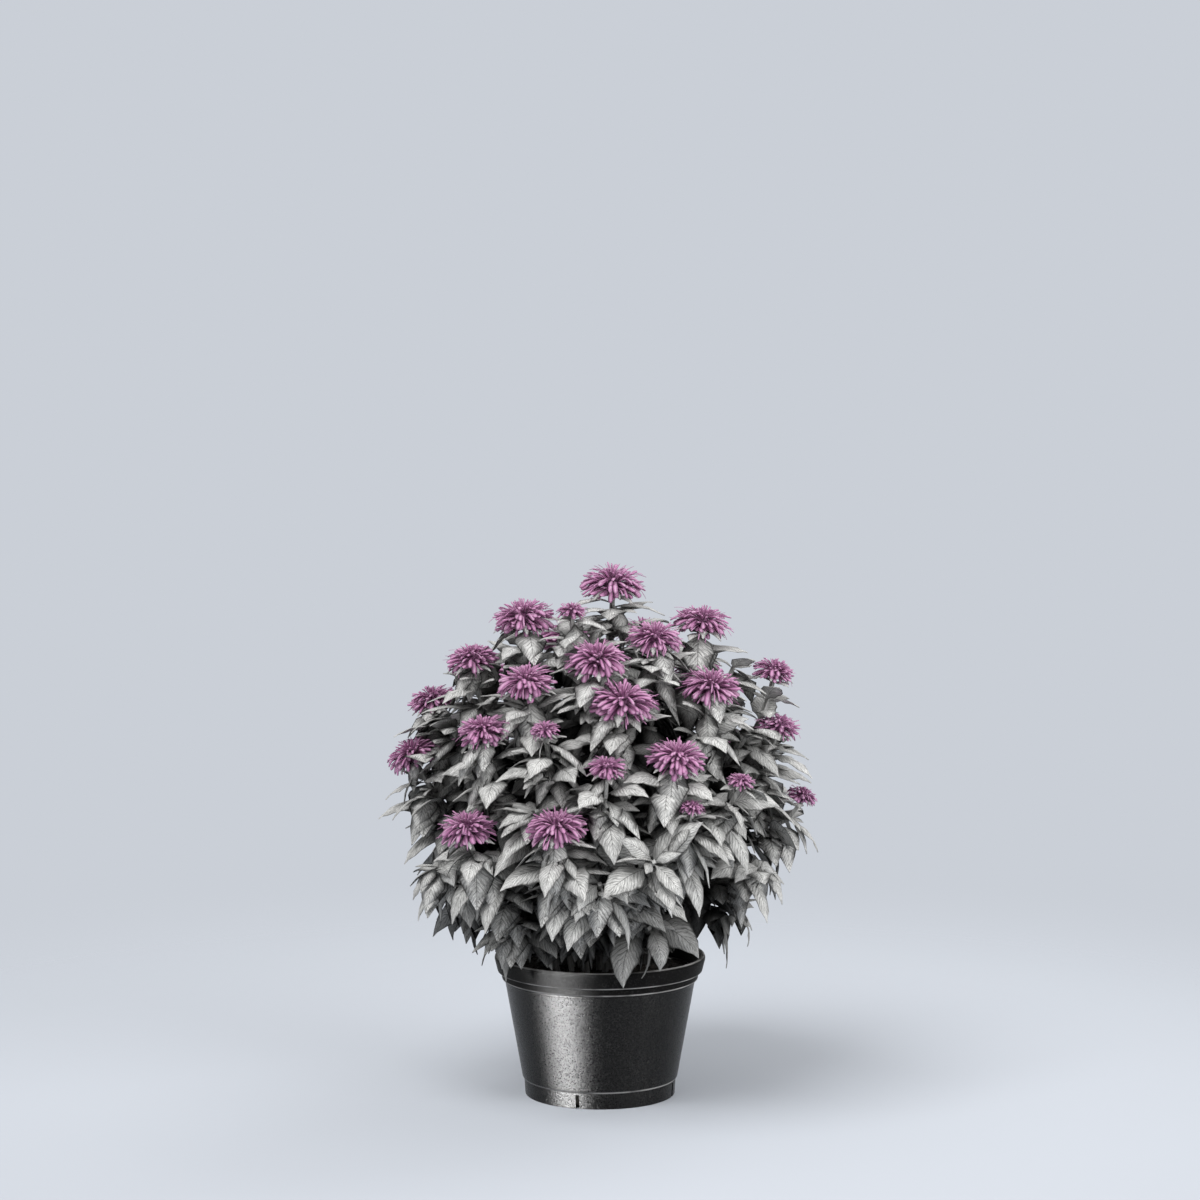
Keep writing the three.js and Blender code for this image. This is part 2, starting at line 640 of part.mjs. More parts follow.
// A closed, slightly fattened copy of a leaf beyond its root, to test it against its neighbours.
function leafGuard(leaf) {
  const skin = new Skin();
  const rings = (leaf.small ? SMALL_RINGS : BLADE_RINGS).map((share) => [
    skin.add(middlePoint(leaf, share, -1, LEAF_CLEARANCE)),
    skin.add(edgePoint(leaf, share, 1, 2 * LEAF_CLEARANCE)),
    skin.add(middlePoint(leaf, share, 1, LEAF_CLEARANCE)),
    skin.add(edgePoint(leaf, share, -1, 2 * LEAF_CLEARANCE)),
  ]);
  const neck = leaf.side.map((corner, k) =>
    skin.add(corner.clone().lerp(skin.corners[rings[0][k]], GUARD_NECK)));
  [neck, ...rings].slice(1).forEach((ring, i) => skinBetween(skin, [neck, ...rings][i], ring));
  const tip = skin.add(leafLine({ ...leaf, length: leaf.length + 1 }, 1).point);
  skinToTip(skin, rings[rings.length - 1], tip);
  skin.face(...neck.reverse());
  return guardOf(skin.solid());
}

// A solid with its box, for quick tests.
function guardOf(solid) {
  const { min, max } = solid.boundingBox();
  return { solid, min, max };
}

function apart(a, b) {
  for (let k = 0; k < 3; k++) if (a.min[k] > b.max[k] || b.min[k] > a.max[k]) return true;
  const common = a.solid.intersect(b.solid);
  const volume = common.volume();
  common.delete();
  return volume < LEAST_COMMON;
}

// The bare stem of a shoot, thickened by a share of its width.
function stemGuard(rings, extra) {
  const skin = new Skin();
  const loops = rings.map(({ corners, point }) =>
    corners.map((corner) => skin.add(point.clone().lerp(corner, 1 + extra))));
  closedBar(skin, loops);
  return guardOf(skin.solid());
}

// Skins a straight or bent bar between its loops of corners, with both ends closed.
function closedBar(skin, loops) {
  skin.face(...[...loops[0]].reverse());
  loops.slice(1).forEach((loop, i) => skinBetween(skin, loops[i], loop));
  skin.face(...loops[loops.length - 1]);
}

// Skins a shoot from its root loop up, with its leaves and side shoots on the sides that they grow from.
function growShoot(skin, shoot, root) {
  const rest = shoot.rings.slice(1).map(({ corners }) => corners.map((corner) => skin.add(corner)));
  const loops = [root, ...rest];
  rest.forEach((loop, i) => {
    for (let k = 0; k < 4; k++) {
      const n = (k + 1) % 4;
      const side = [loops[i][k], loops[i][n], loop[n], loop[k]];
      const leaf = shoot.leaves.find((found) => found.ring === i && found.face === k);
      const child = shoot.children.find((found) => found.ring === i && found.face === k);
      if (leaf) growLeaf(skin, leaf, side);
      else if (child) growShoot(skin, child.shoot, side);
      else skin.face(...side);
    }
  });
  skin.face(...loops[loops.length - 1]);
}

// A direction from a head's middle: latitude from its rim towards its axis, longitude about the axis.
function headDirection(axis, latitude, longitude) {
  const u = V(0, 1, 0).cross(axis).normalize();
  const v = axis.clone().cross(u);
  return u
    .multiplyScalar(Math.cos(latitude) * Math.cos(longitude))
    .addScaledVector(v, Math.cos(latitude) * Math.sin(longitude))
    .addScaledVector(axis, Math.sin(latitude));
}

const CORE_RADIUS = 7;
const FULL_CORE_HEAD = 40;
const CORE_LATITUDES = [-32, 12, 50].map(rad);
const PETAL_TIERS = [
  { latitude: rad(-13), reach: 0.97 },
  { latitude: rad(6), reach: 1 },
  { latitude: rad(24), reach: 0.92 },
  { latitude: rad(42), reach: 0.78 },
  { latitude: rad(68), reach: 0.66 },
];
const PETAL_HALF_SHARE = 0.042;
const LONGEST_PETAL = 1.04;
const PETAL_SPREAD = 0.09;

// One strap of a petal on a three-cornered facet (i, j, k) of the core, with i and j in one ring.
function growPetal(skin, middle, axis, facet, latitude, reach, half) {
  const [i, j, k] = facet;
  const centre = V(0, 0, 0);
  facet.forEach((corner) => centre.addScaledVector(skin.corners[corner], 1 / 3));
  const offset = centre.sub(middle);
  const flat = offset.addScaledVector(axis, -offset.dot(axis)).normalize();
  const direction = flat.multiplyScalar(Math.cos(latitude)).addScaledVector(axis, Math.sin(latitude));
  const side = skin.corners[j].clone().sub(skin.corners[i]).normalize();
  const end = middle.clone().addScaledVector(direction, reach);
  const left = skin.add(end.clone().addScaledVector(side, -half));
  const right = skin.add(end.clone().addScaledVector(side, half));
  skin.face(i, j, right, left);
  skin.face(j, k, right);
  skin.face(left, right, k);
  skin.face(k, i, left);
}

// A flower head: a small core whose facets are each drawn out into a petal, in five tiers.
function headSkin(shoot) {
  const sides = shoot.wide < SMALL_HEAD ? 4 : shoot.wide < LARGE_HEAD ? 5 : 6;
  const core = CORE_RADIUS * Math.min(1, shoot.wide / FULL_CORE_HEAD);
  const seat = shoot.path.points[shoot.path.points.length - 1];
  const middle = seat.clone().addScaledVector(shoot.axis, SEAT_GAP - core * Math.sin(CORE_LATITUDES[0]));
  const skin = new Skin();
  const rings = CORE_LATITUDES.map((latitude, tier) =>
    Array.from({ length: sides }, (_, i) => {
      const longitude = ((i + (tier % 2) / 2) * rad(360)) / sides;
      return skin.add(middle.clone().addScaledVector(headDirection(shoot.axis, latitude, longitude), core));
    }));
  const top = skin.add(middle.clone().addScaledVector(shoot.axis, core));
  skin.face(...[...rings[0]].reverse());
  const petal = (facet, tier, i) => {
    const { latitude, reach } = PETAL_TIERS[tier];
    const vary = LONGEST_PETAL - PETAL_SPREAD * draw(shoot.number, tier * sides + i, 6);
    const radius = (shoot.wide / 2) * reach * vary;
    growPetal(skin, middle, shoot.axis, facet, latitude, radius, shoot.wide * PETAL_HALF_SHARE);
  };
  for (let i = 0; i < sides; i++) {
    const n = (i + 1) % sides;
    petal([rings[0][i], rings[0][n], rings[1][i]], 0, i);
    petal([rings[1][n], rings[1][i], rings[0][n]], 1, i);
    petal([rings[1][i], rings[1][n], rings[2][n]], 2, i);
    petal([rings[2][n], rings[2][i], rings[1][i]], 3, i);
    petal([rings[2][i], rings[2][n], top], 4, i);
  }
  return { skin, middle };
}

const GUARD_SIDES = 8;
const GUARD_SPARE = 0.4;
const GUARD_SEAT_SHARE = 0.5;
const GUARD_TOP_SHARE = 0.7;
const GUARD_TIERS = [
  { latitude: rad(-16), reach: 0.96 },
  { latitude: rad(12), reach: 1 },
  { latitude: rad(48), reach: 0.8 },
];

// The space that a head's petals fill, which leaves and stems keep out of.
function headGuard(shoot, middle) {
  const skin = new Skin();
  const radius = (shoot.wide / 2) * LONGEST_PETAL + GUARD_SPARE;
  const seat = skin.add(middle.clone().addScaledVector(shoot.axis, -CORE_RADIUS * GUARD_SEAT_SHARE));
  const top = skin.add(middle.clone().addScaledVector(shoot.axis, radius * GUARD_TOP_SHARE));
  const rings = GUARD_TIERS.map(({ latitude, reach }) =>
    Array.from({ length: GUARD_SIDES }, (_, i) =>
      skin.add(middle.clone().addScaledVector(
        headDirection(shoot.axis, latitude, (i * rad(360)) / GUARD_SIDES), radius * reach))));
  for (let i = 0; i < GUARD_SIDES; i++) {
    const n = (i + 1) % GUARD_SIDES;
    skin.face(seat, rings[0][n], rings[0][i]);
    rings.slice(1).forEach((ring, k) => skin.face(rings[k][i], rings[k][n], ring[n], ring[i]));
    const last = rings[rings.length - 1];
    skin.face(last[i], last[n], top);
  }
  return guardOf(skin.solid());
}

// A closed geometry as a solid.
function solidOf(geometry) {
  geometry.deleteAttribute("normal");
  geometry.deleteAttribute("uv");
  const merged = mergeVertices(geometry, 1e-3);
  return new wasm.Manifold(new wasm.Mesh({
    numProp: 3,
    vertProperties: merged.attributes.position.array,
    triVerts: new Uint32Array(merged.index.array),
  }));
}

function geometryOf(solid) {
  const mesh = solid.getMesh();
  const position = new Float32Array(mesh.numVert * 3);
  for (let i = 0; i < mesh.numVert; i++)
    position.set(mesh.vertProperties.subarray(i * mesh.numProp, i * mesh.numProp + 3), i * 3);
  const geometry = new THREE.BufferGeometry();
  geometry.setAttribute("position", new THREE.BufferAttribute(position, 3));
  geometry.setIndex(new THREE.BufferAttribute(mesh.triVerts, 1));
  geometry.computeVertexNormals();
  return geometry;
}

function turned(profile, sides) {
  const points = profile.map(([r, z]) => new THREE.Vector2(r, z));
  return new THREE.LatheGeometry(points, sides).rotateX(rad(90)).rotateZ(rad(TURN_START));
}

// Inner radius of the pot at a height, parallel to its tapering wall.
function potInside(z) {
  const share = (z - FOOT_HEIGHT) / (LEDGE_BOTTOM - FOOT_HEIGHT);
  return BODY_LOW_RADIUS - POT_WALL + (BODY_HIGH_RADIUS - BODY_LOW_RADIUS) * share;
}

function potSolid() {
  const profile = [
    [0, 0],
    [BASE_RADIUS, 0],
    [FOOT_RADIUS, FOOT_HEIGHT],
    [BODY_LOW_RADIUS, FOOT_HEIGHT + 1],
    [BODY_HIGH_RADIUS, LEDGE_BOTTOM],
    [LEDGE_RADIUS, LEDGE_BOTTOM + EDGE_ROUND],
    [LEDGE_RADIUS, RIM_BOTTOM],
    [RIM_LOW_RADIUS, RIM_BOTTOM],
    [RIM_RADIUS, POT_HEIGHT - RIM_ROLL],
    [RIM_RADIUS - RIM_CREST, POT_HEIGHT],
    [RIM_RADIUS - RIM_INNER, POT_HEIGHT - EDGE_ROUND],
    [potInside(RIM_BOTTOM), RIM_BOTTOM],
    [potInside(POT_FLOOR), POT_FLOOR],
    [0, POT_FLOOR],
  ];
  let pot = solidOf(turned(profile, POT_SIDES));
  for (let i = 0; i < DRAIN_SLOTS; i++) {
    const slot = new THREE.BoxGeometry(DRAIN_CUT, DRAIN_WIDTH, DRAIN_HEIGHT + 1);
    slot.translate(BASE_RADIUS + DRAIN_CUT_BEYOND, 0, (DRAIN_HEIGHT - 1) / 2);
    slot.rotateZ(rad(DRAIN_BEARING + (360 * i) / DRAIN_SLOTS));
    pot = pot.subtract(solidOf(slot));
  }
  return pot;
}

// Height of the soil: a mound that is higher in the middle, with small lumps by a wave formula.
function soilHeight(x, y) {
  const share = Math.min(1, Math.hypot(x, y) / potInside(SOIL_EDGE));
  const lumps = Math.sin(x * 0.19 + 1) * Math.cos(y * 0.23) + Math.sin(x * 0.11 - y * 0.17);
  return SOIL_MIDDLE + (SOIL_EDGE - SOIL_MIDDLE) * share ** 3 + 0.5 * SOIL_LUMP * lumps;
}

function soilSolid(mains) {
  const top = potInside(SOIL_EDGE) - 2 * SEAT_GAP;
  const profile = [
    [0, POT_FLOOR + SEAT_GAP],
    [potInside(POT_FLOOR) - 2 * SEAT_GAP, POT_FLOOR + SEAT_GAP],
    [top, SOIL_EDGE],
    [0.66 * top, SOIL_MIDDLE],
    [0, SOIL_MIDDLE],
  ];
  const geometry = turned(profile, SOIL_SIDES);
  const position = geometry.getAttribute("position");
  for (let i = 0; i < position.count; i++) {
    const [x, y] = [position.getX(i), position.getY(i)];
    if (position.getZ(i) > SOIL_EDGE + 1) position.setZ(i, soilHeight(x, y));
  }
  let soil = solidOf(geometry);
  mains.forEach(({ rings }) => {
    const { corners, point } = rings[0];
    const hole = new Skin();
    const grown = corners.map((corner) => {
      const out = corner.clone().sub(point);
      return corner.clone().addScaledVector(out.normalize(), SEAT_GAP * Math.SQRT2);
    });
    const low = grown.map((corner) => hole.add(corner.clone().setZ(point.z - SEAT_GAP)));
    const high = grown.map((corner) => hole.add(corner.clone().setZ(SOIL_MIDDLE + 2 * ROOT_CLEAR)));
    closedBar(hole, [low, high]);
    soil = soil.subtract(hole.solid());
  });
  return soil;
}

// Whether a leaf's first cross-section lies outside the plane of the side that it grows from.
function leavesOutward(leaf) {
  const share = leaf.small ? SMALL_RINGS[0] : BLADE_RINGS[0];
  return [1, -1].every((sign) =>
    edgePoint(leaf, share, sign).sub(leaf.root).dot(leaf.normal) > LEAST_OUTWARD);
}

// Finds the first way of bending in which a leaf clears everything and stays inside the outline.
function placeLeaf(slot, guards) {
  const ways = TURNS.length * LIFTS.length * SHRINKS.length;
  for (let way = 0; way < ways; way++) {
    const leaf = posed(slot, way);
    const tip = leafLine(leaf, 1).point;
    if (domeShare(OUTLINE, tip) > 1 || tip.z < LOWEST_TIP || !leavesOutward(leaf)) continue;
    const guard = { ...leafGuard(leaf), shoot: slot.shoot, own: guardOf(leafSolid(leaf)) };
    const clears = (other) => {
      if (other.shoot !== slot.shoot) return apart(guard, other);
      return apart(guard, other.isStem ? other.own : other) && apart(guard.own, other.own);
    };
    if (guards.every(clears)) {
      guards.push(guard);
      return leaf;
    }
    guard.solid.delete();
    guard.own.solid.delete();
  }
  return null;
}

// A main stem with all that grows on it, as one closed solid.
function plantSolid(main) {
  const skin = new Skin();
  const root = main.rings[0].corners.map((corner) => skin.add(corner));
  skin.face(...[...root].reverse());
  growShoot(skin, main, root);
  return skin.solid();
}

const FINISHES = {
  pot: new THREE.MeshStandardMaterial({ color: 0x1d1c1c, roughness: 0.42, metalness: 0 }),
  soil: new THREE.MeshStandardMaterial({ color: 0x1f1b18, roughness: 0.95, metalness: 0 }),
  leaf: new THREE.MeshStandardMaterial({ color: 0x8b8b88, roughness: 0.6, metalness: 0 }),
  petal: new THREE.MeshStandardMaterial({ color: 0xb05ca0, roughness: 0.55, metalness: 0 }),
};

const plant = new THREE.Group();

function addPiece(name, solid, material) {
  const piece = new THREE.Mesh(geometryOf(solid), material);
  piece.name = name;
  plant.add(piece);
}

const shoots = shootsOfPlant();
const guards = [];
const slots = [];
shoots.forEach((shoot) => {
  shoot.leaves = [];
  const own = stemGuard(shoot.rings, 0);
  guards.push({ ...stemGuard(shoot.rings, STEM_CLEARANCE), shoot: shoot.number, own, isStem: true });
  const leafy = shoot.rings.filter((ring) => ring.node).reverse();
  leafy.forEach((ring, nodeNumber) => {
    const at = shoot.rings.indexOf(ring);
    const { pair, axils } = ring.node;
    for (let face = 0; face < 4; face++) {
      const size = face % 2 === nodeNumber % 2 ? pair : axils;
      if (!size) continue;
      const slot = leafSlot(shoot, ring, shoot.rings[at + 1], size, nodeNumber, face);
      slots.push({ ...slot, ring: at, order: nodeNumber + (size === pair ? 0 : 0.5) });
    }
  });
});
const heads = shoots.filter((shoot) => shoot.wide > 0);
heads.forEach((shoot) => {
  const { skin, middle } = headSkin(shoot);
  shoot.head = skin.solid();
  guards.push(headGuard(shoot, middle));
});
const mains = shoots.filter((shoot) => shoot.isMain);
const pot = potSolid();
const soil = soilSolid(mains);
guards.push(guardOf(pot), guardOf(soil));

// Tip pairs choose first, so that the outer leaves find the most room.
slots.sort((a, b) => a.order - b.order || a.shoot - b.shoot || a.face - b.face);
slots.forEach((slot) => {
  const leaf = placeLeaf(slot, guards);
  if (leaf) shoots[slot.shoot].leaves.push(leaf);
});

const two = (number) => String(number).padStart(2, "0");
addPiece("pot", pot, FINISHES.pot);
addPiece("soil", soil, FINISHES.soil);
mains.forEach((main, i) => addPiece(`leafy_stem_${two(i + 1)}`, plantSolid(main), FINISHES.leaf));
heads.forEach((shoot, i) => addPiece(`flower_head_${two(i + 1)}`, shoot.head, FINISHES.petal));

export default plant;
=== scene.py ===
"""A potted bee balm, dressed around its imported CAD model: veined leaves on square stems, heads of
strap-like florets, a black nursery pot and crumbly soil. Lengths are in mm unless a comment says so."""

import bpy
import numpy as np
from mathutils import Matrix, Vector


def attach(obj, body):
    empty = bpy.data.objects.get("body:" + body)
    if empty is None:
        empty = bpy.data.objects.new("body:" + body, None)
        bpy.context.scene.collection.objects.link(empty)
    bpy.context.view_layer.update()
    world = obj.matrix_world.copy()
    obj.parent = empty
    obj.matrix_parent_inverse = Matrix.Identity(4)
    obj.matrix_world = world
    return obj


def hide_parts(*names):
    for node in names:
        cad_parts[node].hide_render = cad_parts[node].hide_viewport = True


bl_info = {
    "name": "Potted Bee Balm",
    "version": (1, 0, 0),
    "blender": (4, 5, 0),
    "location": "View3D > Sidebar > Bee Balm",
    "description": "Builds a potted bee balm in full flower around its CAD frame",
    "category": "Object",
}

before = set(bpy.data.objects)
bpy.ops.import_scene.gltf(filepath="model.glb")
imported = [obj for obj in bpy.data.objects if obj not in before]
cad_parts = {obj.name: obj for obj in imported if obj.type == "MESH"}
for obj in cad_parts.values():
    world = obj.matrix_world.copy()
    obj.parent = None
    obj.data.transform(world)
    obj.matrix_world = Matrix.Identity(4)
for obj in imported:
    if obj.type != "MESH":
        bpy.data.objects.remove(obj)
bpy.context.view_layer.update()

MM = 0.001
STEMS = sorted(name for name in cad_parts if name.startswith("leafy_stem_"))
HEAD_NODES = sorted(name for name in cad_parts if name.startswith("flower_head_"))

# The bush, as in the CAD source: how far each dome reaches across, up and down from the middle.
BUSH_MIDDLE = 225
OUTLINE = (176, 203, 124)
# SHADE_DOME bounds the painted shade that darkens leaves and stems deep inside the bush.
SHADE_DOME = (176, 203, 190)
HEAD_DOME = (155, 190, 118)
DOME_POWERS = (1.75, 5)
EYE = (0, 2200, 530)
HALVINGS = 40

# CAD leaves: shares of the length at which a leaf has its cross-sections, its stalk and its oval.
BLADE_SHARES = (0.3, 0.68)
SMALL_SHARES = (0.42,)
STALK_SHARE = 0.1
STALK_HALF = 0.6
OVAL_SCALE = 3.245
OVAL_POWERS = (0.65, 1.15)
SHORTEST_TIP = 4.4
WELD_DECIMALS = 2

# Heads as in the CAD source: across and up as seen, full width, lean in degrees, seen from behind.
HEADS = np.array([
    (10, 405, 52, 5, 0), (-60, 378, 50, 8, 0), (-22, 380, 24, 5, 0), (80, 374, 48, 12, 0),
    (43, 361, 44, 10, 0), (-100, 344, 42, 9, 0), (-2, 345, 50, 13, 0), (136, 334, 36, 9, 0),
    (-58, 327, 46, 14, 0), (87, 324, 50, 10, 0), (18, 313, 54, 15, 0), (-131, 312, 40, 14, 0),
    (-91, 288, 42, 13, 0), (-43, 287, 22, 18, 0), (140, 291, 36, 16, 0), (60, 268, 46, 18, 0),
    (-147, 270, 44, 22, 0), (5, 258, 30, 14, 0), (110, 247, 22, 14, 0), (72, 226, 20, 10, 0),
    (158, 236, 26, 16, 0), (-104, 212, 46, 12, 0), (-34, 213, 48, 10, 0), (36, 350, 44, 10, 1),
    (-30, 346, 50, 12, 1), (84, 318, 44, 12, 1), (-98, 318, 44, 14, 1), (28, 310, 48, 15, 1),
    (102, 258, 40, 16, 1), (-54, 272, 44, 16, 1), (60, 276, 46, 16, 1), (-128, 254, 38, 18, 1),
    (4, 230, 44, 14, 1), (120, 212, 38, 14, 1), (-84, 206, 42, 14, 1),
], float)
# A head's core and seat, and the widths from which a core and a head are full.
CORE_RADIUS = 7
CORE_FOOT = np.radians(32)
SEAT_SHARE = 0.2
SEAT_GAP = 0.3
FULL_CORE = 40
FULL_HEAD = 50

# Seeds, angles of sharp edges in degrees, and knots of the leaves that the CAD doesn't have.
SEEDS = {"soil": 11, "stems": 3, "inner": 5, "heads": 7, "bracts": 9}
SHARP = {"pot": 35, "soil": 50, "stems": 40}
THREE_KNOTS = (0, 0.5, 1.0)


def unit(vectors):
    """Each vector divided by its length."""
    return vectors / np.maximum(np.linalg.norm(vectors, axis=-1, keepdims=True), 1e-9)


def dot(a, b):
    """Scalar product along the last axis, which is kept."""
    return (a * b).sum(-1, keepdims=True)


def mix(a, b, share):
    """a at share 0 and b at share 1, in proportion between."""
    return a + (b - a) * share


def ramp(value, low, high):
    """0 below low, 1 above high, and smooth between: 3 s^2 - 2 s^3."""
    share = np.clip((value - low) / (high - low), 0, 1)
    return share * share * (3 - 2 * share)


def across_axis(axis):
    """Two directions at right angles to an axis and to each other."""
    u = unit(np.cross((0, 1, 0), axis))
    return u, np.cross(axis, u)


def turns(number, shift=0.0):
    """Angles that part a full turn evenly, each moved on by shift steps."""
    return (np.arange(number) + shift) * 2 * np.pi / number


def dome_share(points, dome):
    """Share of the way from the bush's middle to a dome's skin: the p-th root of
    (reach / across)^p + (height / up or down)^p, with a lower p above the middle than below."""
    across, up, down = dome
    height = points[..., 2] - BUSH_MIDDLE
    power = np.where(height > 0, *DOME_POWERS)
    rise = np.abs(height) / np.where(height > 0, up, down)
    reach = np.hypot(points[..., 0], points[..., 1]) / across
    return (reach**power + rise**power) ** (1 / power)


def heads_placed():
    """Middle, axis and width of each head. A head stands where the line of sight to its place on an
    upright plane enters the dome, or on the plane where the line misses the dome."""
    across, up, wide, lean, behind = HEADS.T
    plane = np.stack([across, 0 * across, up], 1)
    eye = np.array(EYE) * np.stack([behind * 0, behind * 2 - 1, behind * 0 + 1], 1)
    inside = np.zeros((len(plane), 1))
    outside = np.full((len(plane), 1), 2 * HEAD_DOME[0] / EYE[1])
    for _ in range(HALVINGS):
        half = (inside + outside) / 2
        beyond = dome_share(mix(plane, eye, half), HEAD_DOME)[:, None] > 1
        outside = np.where(beyond, half, outside)
        inside = np.where(beyond, inside, half)
    seen = dome_share(plane, HEAD_DOME)[:, None] <= 1
    place = np.where(seen, mix(plane, eye, inside), plane)
    lean = np.radians(lean)[:, None]
    axis = unit(place * (1, 1, 0)) * np.sin(lean) + np.array([0, 0, 1]) * np.cos(lean)
    core = CORE_RADIUS * np.minimum(1, wide / FULL_CORE)
    middle = place + axis * (SEAT_GAP + core * np.sin(CORE_FOOT) - SEAT_SHARE * wide)[:, None]
    return middle, axis, wide, core


def added(name, data):
    """A new object of the scene with this mesh, light or camera."""
    thing = bpy.data.objects.new(name, data)
    bpy.context.scene.collection.objects.link(thing)
    return thing


def put_mesh(name, points, faces, finishes, nodes=(), finish_of=None, sharp=None, layers=None,
             uv=None):
    """Makes a piece from points and faces, which are arrays of corner numbers with 3, 4 or more columns.
    layers are float values per point, uv is one pair per point, and sharp is an angle in degrees."""
    mesh = bpy.data.meshes.new(name)
    corners = np.concatenate([rows.ravel() for rows in faces])
    counts = np.concatenate([np.full(len(rows), rows.shape[1]) for rows in faces])
    mesh.vertices.add(len(points))
    mesh.vertices.foreach_set("co", (np.asarray(points) * MM).ravel().astype(np.float32))
    mesh.loops.add(len(corners))
    mesh.loops.foreach_set("vertex_index", corners.astype(np.int32))
    mesh.polygons.add(len(counts))
    mesh.polygons.foreach_set("loop_start", (np.cumsum(counts) - counts).astype(np.int32))
    mesh.polygons.foreach_set("use_smooth", np.ones(len(counts), bool))
    if finish_of is not None:
        mesh.polygons.foreach_set("material_index", finish_of.astype(np.int32))
    mesh.update(calc_edges=True)
    if sharp is not None:
        mesh.set_sharp_from_angle(angle=np.radians(sharp))
    for layer, values in (layers or {}).items():
        mesh.attributes.new(layer, "FLOAT", "POINT").data.foreach_set("value", values.astype(np.float32))
    if uv is not None:
        flat = uv[corners].astype(np.float32)
        mesh.uv_layers.new(name="UVMap").data.foreach_set("uv", flat.ravel())
    for finish in finishes:
        mesh.materials.append(finish)
    mesh.validate()
    piece = added(name, mesh)
    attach(piece, "root")
    if nodes:
        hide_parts(*nodes)
    return piece


def band_faces(start, sides):
    """Quads between loops of sides points and the loops after them, whose first corners are start."""
    here = np.arange(sides)
    after = (here + 1) % sides
    low, high = start[..., None], start[..., None] + sides
    return np.stack([low + here, low + after, high + after, high + here], -1).reshape(-1, 4)


def tube_faces(count, stations, sides):
    """Faces of count closed tubes, each of stations loops of sides points, with both ends capped."""
    tube = np.arange(count)[:, None] * stations * sides
    first = tube + np.arange(sides)[::-1]
    last = tube + (stations - 1) * sides + np.arange(sides)
    return [band_faces(tube + np.arange(stations - 1) * sides, sides), np.concatenate([first, last])]


def welded(node):
    """Corners in mm and triangles of a CAD node, with its loose triangles joined at their corners."""
    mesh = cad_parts[node].data
    flat = np.empty(len(mesh.vertices) * 3)
    mesh.vertices.foreach_get("co", flat)
    points = flat.reshape(-1, 3) / MM
    mesh.calc_loop_triangles()
    rows = np.empty(len(mesh.loop_triangles) * 3, np.int32)
    mesh.loop_triangles.foreach_get("vertices", rows)
    places = np.round(points, WELD_DECIMALS)
    _, first, own = np.unique(places, axis=0, return_index=True, return_inverse=True)
    return points[first], own.ravel()[rows.reshape(-1, 3)]


def oval(share):
    """Half width of a blade as a share of its widest: 3.245 t^0.65 (1 - t)^1.15, with t the share of
    the way along the blade beyond its stalk."""
    t = np.clip((share - STALK_SHARE) / (1 - STALK_SHARE), 0, 1)
    return OVAL_SCALE * t ** OVAL_POWERS[0] * (1 - t) ** OVAL_POWERS[1]


def read_ring(points, ring, tip):
    """Middle, side direction and half width of a CAD leaf's three-cornered cross-section."""
    corners = points[ring]
    spans = np.linalg.norm(corners - np.roll(corners, 1, 0), axis=1)
    widest = int(np.argmax(spans))
    right, left = corners[widest], corners[widest - 1]
    crest = corners[(widest + 1) % 3]
    foot = (right + left) / 2
    side = unit(right - left)
    middle = (foot + crest) / 2
    if np.dot(np.cross(side, crest - foot), tip - middle) < 0:
        side = -side
    return middle, side, spans[widest] / 2


def read_stem(node):
    """The leaves of a CAD stem node, as lists of knots, sides and half widths, and its bare skin.
    A leaf ends in a corner with three neighbours, which are its last cross-section. The corners next
    to that one are its other cross-section, or the four at its root."""
    points, triangles = welded(node)
    near = np.zeros((len(points),) * 2, bool)
    for a, b in ((0, 1), (1, 2), (2, 0)):
        near[triangles[:, a], triangles[:, b]] = near[triangles[:, b], triangles[:, a]] = True
    of_leaf = np.zeros(len(points), bool)
    leaves, doors = [], []
    for tip in np.flatnonzero(near.sum(1) == 3):
        rings = [np.flatnonzero(near[tip])]
        gaps = np.linalg.norm(points[rings[0]] - points[tip], axis=1)
        if gaps.min() < SHORTEST_TIP or near[np.ix_(rings[0], rings[0])].sum() < 6:
            continue
        seen = near[rings[0]].any(0)
        seen[tip] = seen[rings[0]] = False
        if seen.sum() == 3:
            rings.insert(0, np.flatnonzero(seen))
            seen = near[rings[0]].any(0)
            seen[rings[0]] = seen[rings[1]] = False
        door = np.flatnonzero(seen)
        if len(door) != 4:
            raise RuntimeError(f"{node}: a leaf grows from {len(door)} corners, and not from four")
        read = [read_ring(points, ring, points[tip]) for ring in rings]
        shares = BLADE_SHARES if len(rings) == 2 else SMALL_SHARES
        root = points[door].mean(0)
        knots = [root, *(middle for middle, _, _ in read), points[tip]]
        half = np.mean([wide / oval(share) for (_, _, wide), share in zip(read, shares)])
        leaves.append((len(rings) == 1, np.array(knots), read[-1][1], half))
        of_leaf[tip] = of_leaf[np.concatenate(rings)] = True
        doors.append(door_order(points, door, read[0][0] - root))
    bare = triangles[~of_leaf[triangles].any(1)]
    return leaves, points, bare, np.array(doors)


def door_order(points, door, outward):
    """The four corners that a leaf grows from, in turn as seen from outside the stem."""
    offset = points[door] - points[door].mean(0)
    first = unit(offset[0])
    second = unit(np.cross(outward, first))
    return door[np.argsort(np.arctan2(offset @ second, offset @ first))]


def along_knots(shares, knots, at):
    """The smooth curve through each leaf's knots: the sum of every knot times the product of
    (at - other) / (own - other) over the other shares."""
    line = np.zeros((len(knots), len(at), 3))
    for k, own in enumerate(shares):
        weight = np.ones(len(at))
        for other in shares[:k] + shares[k + 1:]:
            weight = weight * (at - other) / (own - other)
        line += knots[:, k, None] * weight[:, None]
    return line


